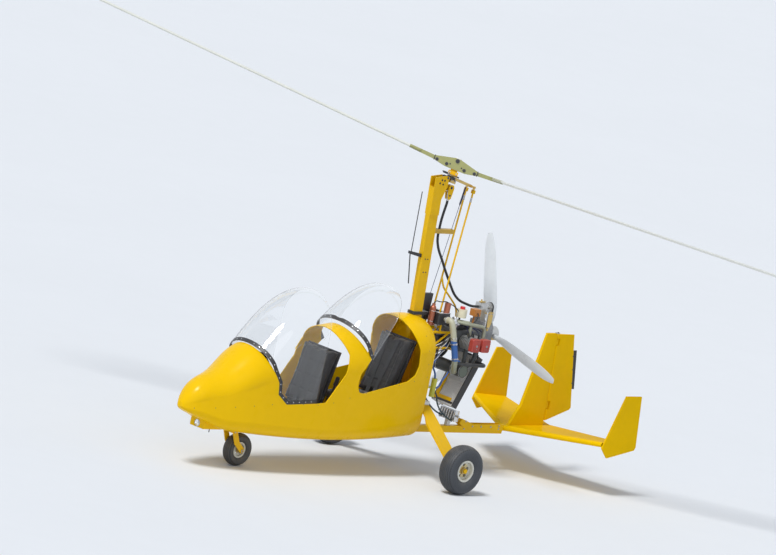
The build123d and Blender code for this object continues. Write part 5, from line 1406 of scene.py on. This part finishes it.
# Wheels: hub rings, bolts, valve, brake disc and caliper; nose axle rings
wheelLook = {
    "axle": 215, "rings": ((840, 22, 4, 28), (822, 30, 3, 32)), "bolts": 5, "boltRing": 46,
    "valve": ((842, 52, 268), (852, 58, 274), 3.4, 2.8, 10),
    "disc": {"disc": (716, 720, 82, 44), "hub": (720, 764, 27, 28)},  # from, to, radius, sides
    "caliperTurn": 40, "caliperPads": ((704, 714), (722, 728)), "bridge": ((716, 76, 279), (24, 10, 30)),
}
axle = wheelLook["axle"]
for side, rim, body in ((1, "port_rim", "port_wheel"), (-1, "starboard_rim", "starboard_wheel")):
    ringsForm, boltForm, discForm = bmesh.new(), bmesh.new(), bmesh.new()
    for x, radius, thick, steps in wheelLook["rings"]:
        addRing(ringsForm, (side * x, 0, axle), (1, 0, 0), radius, thick, steps, 8)
    angles = [2 * pi * (index + 0.5) / wheelLook["bolts"] for index in range(wheelLook["bolts"])]
    ring = wheelLook["boltRing"]
    places = [(ring * cos(angle), axle + ring * sin(angle)) for angle in angles]
    boltSide(boltForm, rim, places, 12, 7, (side,))
    start, end, *rest = wheelLook["valve"]
    addDrum(boltForm, flip(start, side), flip(end, side), *rest)
    for near, far, radius, steps in wheelLook["disc"].values():
        addDrum(discForm, (side * near, 0, axle), (side * far, 0, axle), radius, sides=steps)
    finishForm(ringsForm, body + "_hub_rings", goldPlate, body)
    finishForm(boltForm, body + "_bolts", boltSteel, body)
    finishForm(discForm, body + "_brake_disc", brightSteel, body)
calipers, axleRings = bmesh.new(), bmesh.new()
caliperTurn = Matrix.Rotation(radians(wheelLook["caliperTurn"]), 3, "X")
for side in (1, -1):
    for near, far in wheelLook["caliperPads"]:
        addBox(calipers, (side * (near + far) / 2, 58, 264), (far - near, 44, 30), caliperTurn, 2)
    middle, size = wheelLook["bridge"]
    addBox(calipers, flip(middle, side), size, caliperTurn, 2)
    addRing(axleRings, (side * 69, -1906, 142), (1, 0, 0), 12.5, 3.6, 24, 8)
    addDrum(axleRings, (side * 64, -2035, 306), (side * 69, -2035, 306), 7, sides=12)
finishForm(calipers, "brake_calipers", boltSteel, "airframe")
finishForm(axleRings, "nose_axle_rings", boltSteel, "nose_fork")

# Gear legs: clamp bolts, axle bolts and the brake lines along the underside
legLook = {
    "clampBolts": ((150, -24), (150, 66), (186, -24), (186, 66)),
    "axleBolts": ((690, -12, 198), (690, -12, 232), (690, 14, 198), (690, 14, 232)),
    "lineAt": (180, 240, 330, 420, 510, 600, 672), "lineY": 20, "lineGap": 3.4, "lineRadius": 3,
    "lineStart": (150, 20, 660), "lineEnd": (702, 52, 268),
}
gearBolts, lines = bmesh.new(), []
for side in (1, -1):
    for x, y in legLook["clampBolts"]:
        place, normal = hitOn("gear_carrier", (side * x, y, 700), (0, 0, -1))
        if place is not None:
            addBolt(gearBolts, place, (0, 0, 1), 13, 7)
    for place in legLook["axleBolts"]:
        addBolt(gearBolts, flip(place, side), (-side, 0, 0), 10, 5)
    line = [flip(legLook["lineStart"], side)]
    for x in legLook["lineAt"]:
        place, normal = hitOn("gear_legs", (side * x, legLook["lineY"], 0), (0, 0, 1))
        if place is not None:
            line.append(place + normal * legLook["lineGap"])
    lines.append(line + [flip(legLook["lineEnd"], side)])
finishForm(gearBolts, "gear_bolts", boltSteel, "airframe")
runLines("brake_lines", lines, legLook["lineRadius"], blackRubber, "airframe")
print("wheels and gear dressed")

# Keel and tail: gusset bolts, the fin's top hinge and the tab's brackets
keelLook = {"bolts": ((760, 440), (760, 372), (850, 396), (960, 396), (1080, 396), (1180, 378), (1180, 404))}
hingeLook = {
    "singleDrums": (((0, 1704, 1241), (0, 1703, 1252), 5, 5, 12),),
    "singleBlocks": (((-5, 1672, 1241), (5, 1724, 1246), 1),),
}
tabLook = {"top": (1941.6, 1093), "foot": (2020.2, 746), "shares": (0.15, 0.5, 0.85), "half": (4.5, 12, 6)}
keelBolts = bmesh.new()
boltSide(keelBolts, "keel", keelLook["bolts"], 11, 5)
finishForm(keelBolts, "keel_bolts", boltSteel, "airframe")
makeFitting("fin_hinge", blackSatin, "airframe", hingeLook)
tabBits = bmesh.new()
(topY, topZ), (footY, footZ), half = tabLook["top"], tabLook["foot"], Vector(tabLook["half"])
for share in tabLook["shares"]:
    middle = Vector((0, topY + (footY - topY) * share, topZ + (footZ - topZ) * share))
    addBlock(tabBits, middle - half, middle + half, 1)
finishForm(tabBits, "tab_brackets", blackSatin, "rudder")
print("tail dressed")

# Shell fasteners along the pod's seam and on the rear cowl
shellLook = {
    "seam": ((-2700, 512), (-1800, 632), (-1298, 636), (-940, 730), (-360, 846), (-20, 915)), "below": 9,
    "spacing": 190, "noseFree": 30,
    "cowl": ((-180, 1240), (-150, 1120), (-120, 1000), (-40, 1240), (-40, 1080)),
    "screw": {"radius": 4.2, "topRadius": 3.2, "sink": 0.5, "rise": 0.8, "sides": 12},
}
shellScrews = bmesh.new()
for side in (1, -1):
    for (startY, startZ), (endY, endZ) in zip(shellLook["seam"], shellLook["seam"][1:]):
        count = max(1, round((endY - startY) / shellLook["spacing"]))
        for step in range(count):
            share = (step + 0.5) / count
            y, z = startY + (endY - startY) * share, startZ + (endZ - startZ) * share - shellLook["below"]
            place, normal = hitSide("fuselage_tub", side, y, z)
            if place is not None and abs(place.x) > shellLook["noseFree"]:
                addScrew(shellScrews, place, normal, shellLook["screw"])
    for y, z in shellLook["cowl"]:
        place, normal = hitSide("rear_cowl", side, y, z)
        if place is not None:
            addScrew(shellScrews, place, normal, shellLook["screw"])
finishForm(shellScrews, "shell_screws", darkSteel, "airframe")
print("shell fasteners set")

# Front panel: dials with ticks and a needle, two knobs and a small box
panelLook = {
    "face": -1924, "ticks": 12, "needle": 0.7, "knobs": (-12, 12),
    "box": ((-46, -1924, 950), (46, -1917, 994), 3),
    "dials": (  # x, z, radius
        (-126, 892, 30), (-46, 912, 38), (46, 912, 38), (126, 892, 30), (-60, 824, 26), (60, 824, 26),
    ),
}
bezels, dialFaces, marks = bmesh.new(), bmesh.new(), bmesh.new()
face = panelLook["face"]
for x, z, radius in panelLook["dials"]:
    addDrum(dialFaces, (x, face - 1, z), (x, face + 3, z), radius, sides=36)
    addRing(bezels, (x, face + 3, z), (0, 1, 0), radius, 3, 36, 8)
    for index in range(panelLook["ticks"]):
        angle = 2 * pi * index / panelLook["ticks"]
        middle = (x + sin(angle) * radius * 0.78, face + 3.4, z + cos(angle) * radius * 0.78)
        addBox(marks, middle, (2, 0.8, radius * 0.2), Matrix.Rotation(-angle, 3, "Y"))
    needleTurn = Matrix.Rotation(panelLook["needle"], 3, "Y")
    addBox(marks, (x, face + 4.4, z + radius * 0.2), (2.4, 0.8, radius * 0.85), needleTurn)
for x in panelLook["knobs"]:
    addDrum(bezels, (x, face, 866), (x, face + 12, 866), 7, sides=16)
addBlock(bezels, *panelLook["box"])
finishForm(bezels, "dial_bezels", mouldedBlack, "airframe")
finishForm(dialFaces, "dial_faces", blackSatin, "airframe")
finishForm(marks, "dial_marks", whiteStrap, "airframe")

# Sticks: ribbed grips with a button each, and folded boots round their feet
stickLook = {
    "grips": (((0, -1756, 768), (0, -1736, 845)), ((0, -899, 716), (0, -880, 788))),
    "ribs": 6, "firstRib": 0.12, "ribPitch": 0.14, "rib": (17, 2.6, 28, 8),
    "boots": ((-1745, -10), (-900, -8)), "folds": 4, "bootFoot": 404, "foldRise": 15,
}
grips, boots = bmesh.new(), bmesh.new()
for low, high in stickLook["grips"]:
    low, high = Vector(low), Vector(high)
    for step in range(stickLook["ribs"]):
        middle = low + (high - low) * (stickLook["firstRib"] + stickLook["ribPitch"] * step)
        addRing(grips, middle, high - low, *stickLook["rib"])
    addDrum(grips, high, high + (high - low).normalized() * 9, 14, 9, 24)
    addDrum(grips, high + Vector((0, -10, 2)), high + Vector((0, -20, 4)), 5, sides=12)
for y, lean in stickLook["boots"]:
    for fold in range(stickLook["folds"]):
        rise = fold * stickLook["foldRise"]
        middle = (0, y + lean * fold / stickLook["folds"], stickLook["bootFoot"] + rise)
        addRing(boots, middle, (0, 0, 1), 40 - fold * 7, 8, 28, 8)
finishForm(grips, "stick_grips", blackRubber, "airframe")
finishForm(boots, "stick_boots", blackRubber, "airframe")

# Belts: two shoulder straps and two lap straps on each seat, with a buckle
harnessLook = (
    {
        "panTop": 549, "backY": -1300,
        "run": (
            (-1112, 1018), (-1126, 1044), (-1150, 1050), (-1190, 1051), (-1211, 1044), (-1224, 1000),
            (-1233, 940),
            (-1250, 880), (-1261, 820), (-1277, 760), (-1289, 700), (-1304, 640), (-1312, 596), (-1330, 562),
            (-1352, 553),
        ),
    },
    {
        "panTop": 656, "backY": -440,
        "run": (
            (-220, 1136), (-236, 1158), (-256, 1163), (-290, 1166), (-318, 1158), (-327, 1130), (-335, 1100),
            (-352, 1040), (-371, 980), (-384, 920), (-407, 860), (-422, 800), (-443, 740), (-450, 700),
            (-466, 664), (-496, 659),
        ),
    },
)
strapLook = {"outside": 84, "drawnIn": 50, "shoulderWide": (42, 0, 0), "lapWide": (0, 40, 12), "thick": 2.5}
belts, buckles = bmesh.new(), bmesh.new()
for harness in harnessLook:
    run, panTop, backY = harness["run"], harness["panTop"], harness["backY"]
    for side in (1, -1):
        shoulder = []
        for index, (y, z) in enumerate(run):
            x = strapLook["outside"] - strapLook["drawnIn"] * index / (len(run) - 1)
            shoulder.append((side * x, y, z))
        lap = (
            (side * 196, backY + 10, panTop - 22), (side * 182, backY - 20, panTop - 2),
            (side * 110, backY - 44, panTop + 4), (side * 30, backY - 56, panTop + 6),
        )
        addStrip(belts, shoulder, strapLook["shoulderWide"], strapLook["thick"])
        addStrip(belts, lap, strapLook["lapWide"], strapLook["thick"])
    addBlock(buckles, (-34, backY - 84, panTop - 1), (34, backY - 30, panTop + 14), 4)
finishForm(belts, "seat_belts", beltWeb, "airframe")
finishForm(buckles, "belt_buckles", boltSteel, "airframe")
print("cockpit dressed")

# Seat pads: copied from their solids, remeshed, blown up a little and seamed
seatLook = {
    "voxel": 0.007, "pressure": 4.0, "cap": 0.020, "shrink": 0.010, "rounding": 0.014, "frames": 20,
    "channelDepth": 0.007, "channelWidth": 0.035, "between": -1.0,
    "pan": {"across": (0.34, 0.66), "facing": (0, 0, 1)},
    "back": {"across": (0.25, 0.5, 0.75), "facing": (0, -0.97, 0.22)},
    "along": (0.16, 0.84),
}


def boxOf(verts):
    low = Vector([min(vert.co[axis] for vert in verts) for axis in range(3)])
    high = Vector([max(vert.co[axis] for vert in verts) for axis in range(3)])
    return low, high - low


def splitPads(nodeName):
    form = bmesh.new()
    form.from_mesh(nodes[nodeName].data)
    bmesh.ops.remove_doubles(form, verts=form.verts, dist=0.0001)
    halves = []
    for keepFront in (True, False):
        part = form.copy()
        gone = [vert for vert in part.verts if (vert.co.y < seatLook["between"]) != keepFront]
        bmesh.ops.delete(part, geom=gone, context="VERTS")
        halves.append(part)
    form.free()
    return halves


def blowUp(pad):
    resting = [vert.co.copy() for vert in pad.data.vertices]
    cloth = pad.modifiers.new("fill", "CLOTH")
    cloth.settings.quality = 5
    cloth.settings.use_pressure = True
    cloth.settings.uniform_pressure_force = seatLook["pressure"]
    cloth.settings.tension_stiffness = 30
    cloth.settings.compression_stiffness = 30
    cloth.settings.bending_stiffness = 2
    cloth.settings.effector_weights.gravity = 0
    cloth.point_cache.frame_start = 1
    cloth.point_cache.frame_end = seatLook["frames"]
    for step in range(1, seatLook["frames"] + 1):
        bpy.context.scene.frame_set(step)
    shown = pad.evaluated_get(bpy.context.evaluated_depsgraph_get())
    blown = [vert.co.copy() for vert in shown.data.vertices]
    pad.modifiers.remove(cloth)
    for vert, before, after in zip(pad.data.vertices, resting, blown):
        shift = after - before
        if shift.length > seatLook["cap"]:
            shift = shift.normalized() * seatLook["cap"]
        vert.co = before + shift
    bpy.context.scene.frame_set(1)


def sewChannels(pad, channels):
    low, length = boxOf(pad.data.vertices)
    longWay = 2 if length.z > length.y else 1
    facing, width = Vector(channels["facing"]), seatLook["channelWidth"]
    for vert in pad.data.vertices:
        across = (vert.co.x - low.x) / length.x
        along = (vert.co[longWay] - low[longWay]) / length[longWay]
        dips = [1 - abs(along - channel) / width for channel in channels["across"]]
        dips += [1 - abs(across - channel) / (width * 0.8) for channel in seatLook["along"]]
        dip = max(0.0, *dips)
        if dip and 0.08 < across < 0.92 and vert.normal.dot(facing) > 0.3:
            vert.co -= facing * seatLook["channelDepth"] * dip * dip


def makePad(form, name, channels):
    mesh = bpy.data.meshes.new(name)
    middle = Vector((0, 0, 0))
    for vert in form.verts:
        middle += vert.co
    middle /= len(form.verts)
    bmesh.ops.recalc_face_normals(form, faces=form.faces)
    bmesh.ops.bevel(
        form, geom=[edge for edge in form.edges if edge.calc_face_angle(0) > 0.5],
        offset=seatLook["rounding"],
        offset_type="OFFSET", segments=3, profile=0.5, affect="EDGES", material=-1,
    )
    size = boxOf(form.verts)[1]
    for vert in form.verts:
        away = vert.co - middle
        vert.co = middle + Vector([away[axis] * (1 - seatLook["shrink"] / size[axis]) for axis in range(3)])
    form.to_mesh(mesh)
    form.free()
    pad = bpy.data.objects.new(name, mesh)
    bpy.context.scene.collection.objects.link(pad)
    bpy.context.view_layer.objects.active = pad
    remesh = pad.modifiers.new("remesh", "REMESH")
    remesh.mode = "VOXEL"
    remesh.voxel_size = seatLook["voxel"]
    bpy.context.view_layer.update()
    with bpy.context.temp_override(object=pad, active_object=pad, selected_objects=[pad]):
        bpy.ops.object.modifier_apply(modifier="remesh")
    blowUp(pad)
    sewChannels(pad, channels)
    smooth = pad.modifiers.new("smoothed", "SUBSURF")
    smooth.levels = 1
    smooth.render_levels = 1
    pad.data.shade_smooth()
    pad.data.materials.append(seatCloth)
    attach(pad, "airframe")
    return pad


for nodeName, title in (("seat_cushions", "pan"), ("seat_backs", "back")):
    pads = []
    for form, who in zip(splitPads(nodeName), ("front", "rear")):
        pads.append(makePad(form, who + "_seat_" + title, seatLook[title]))
    for pad in pads:
        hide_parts(nodeName)
print("seat pads made")
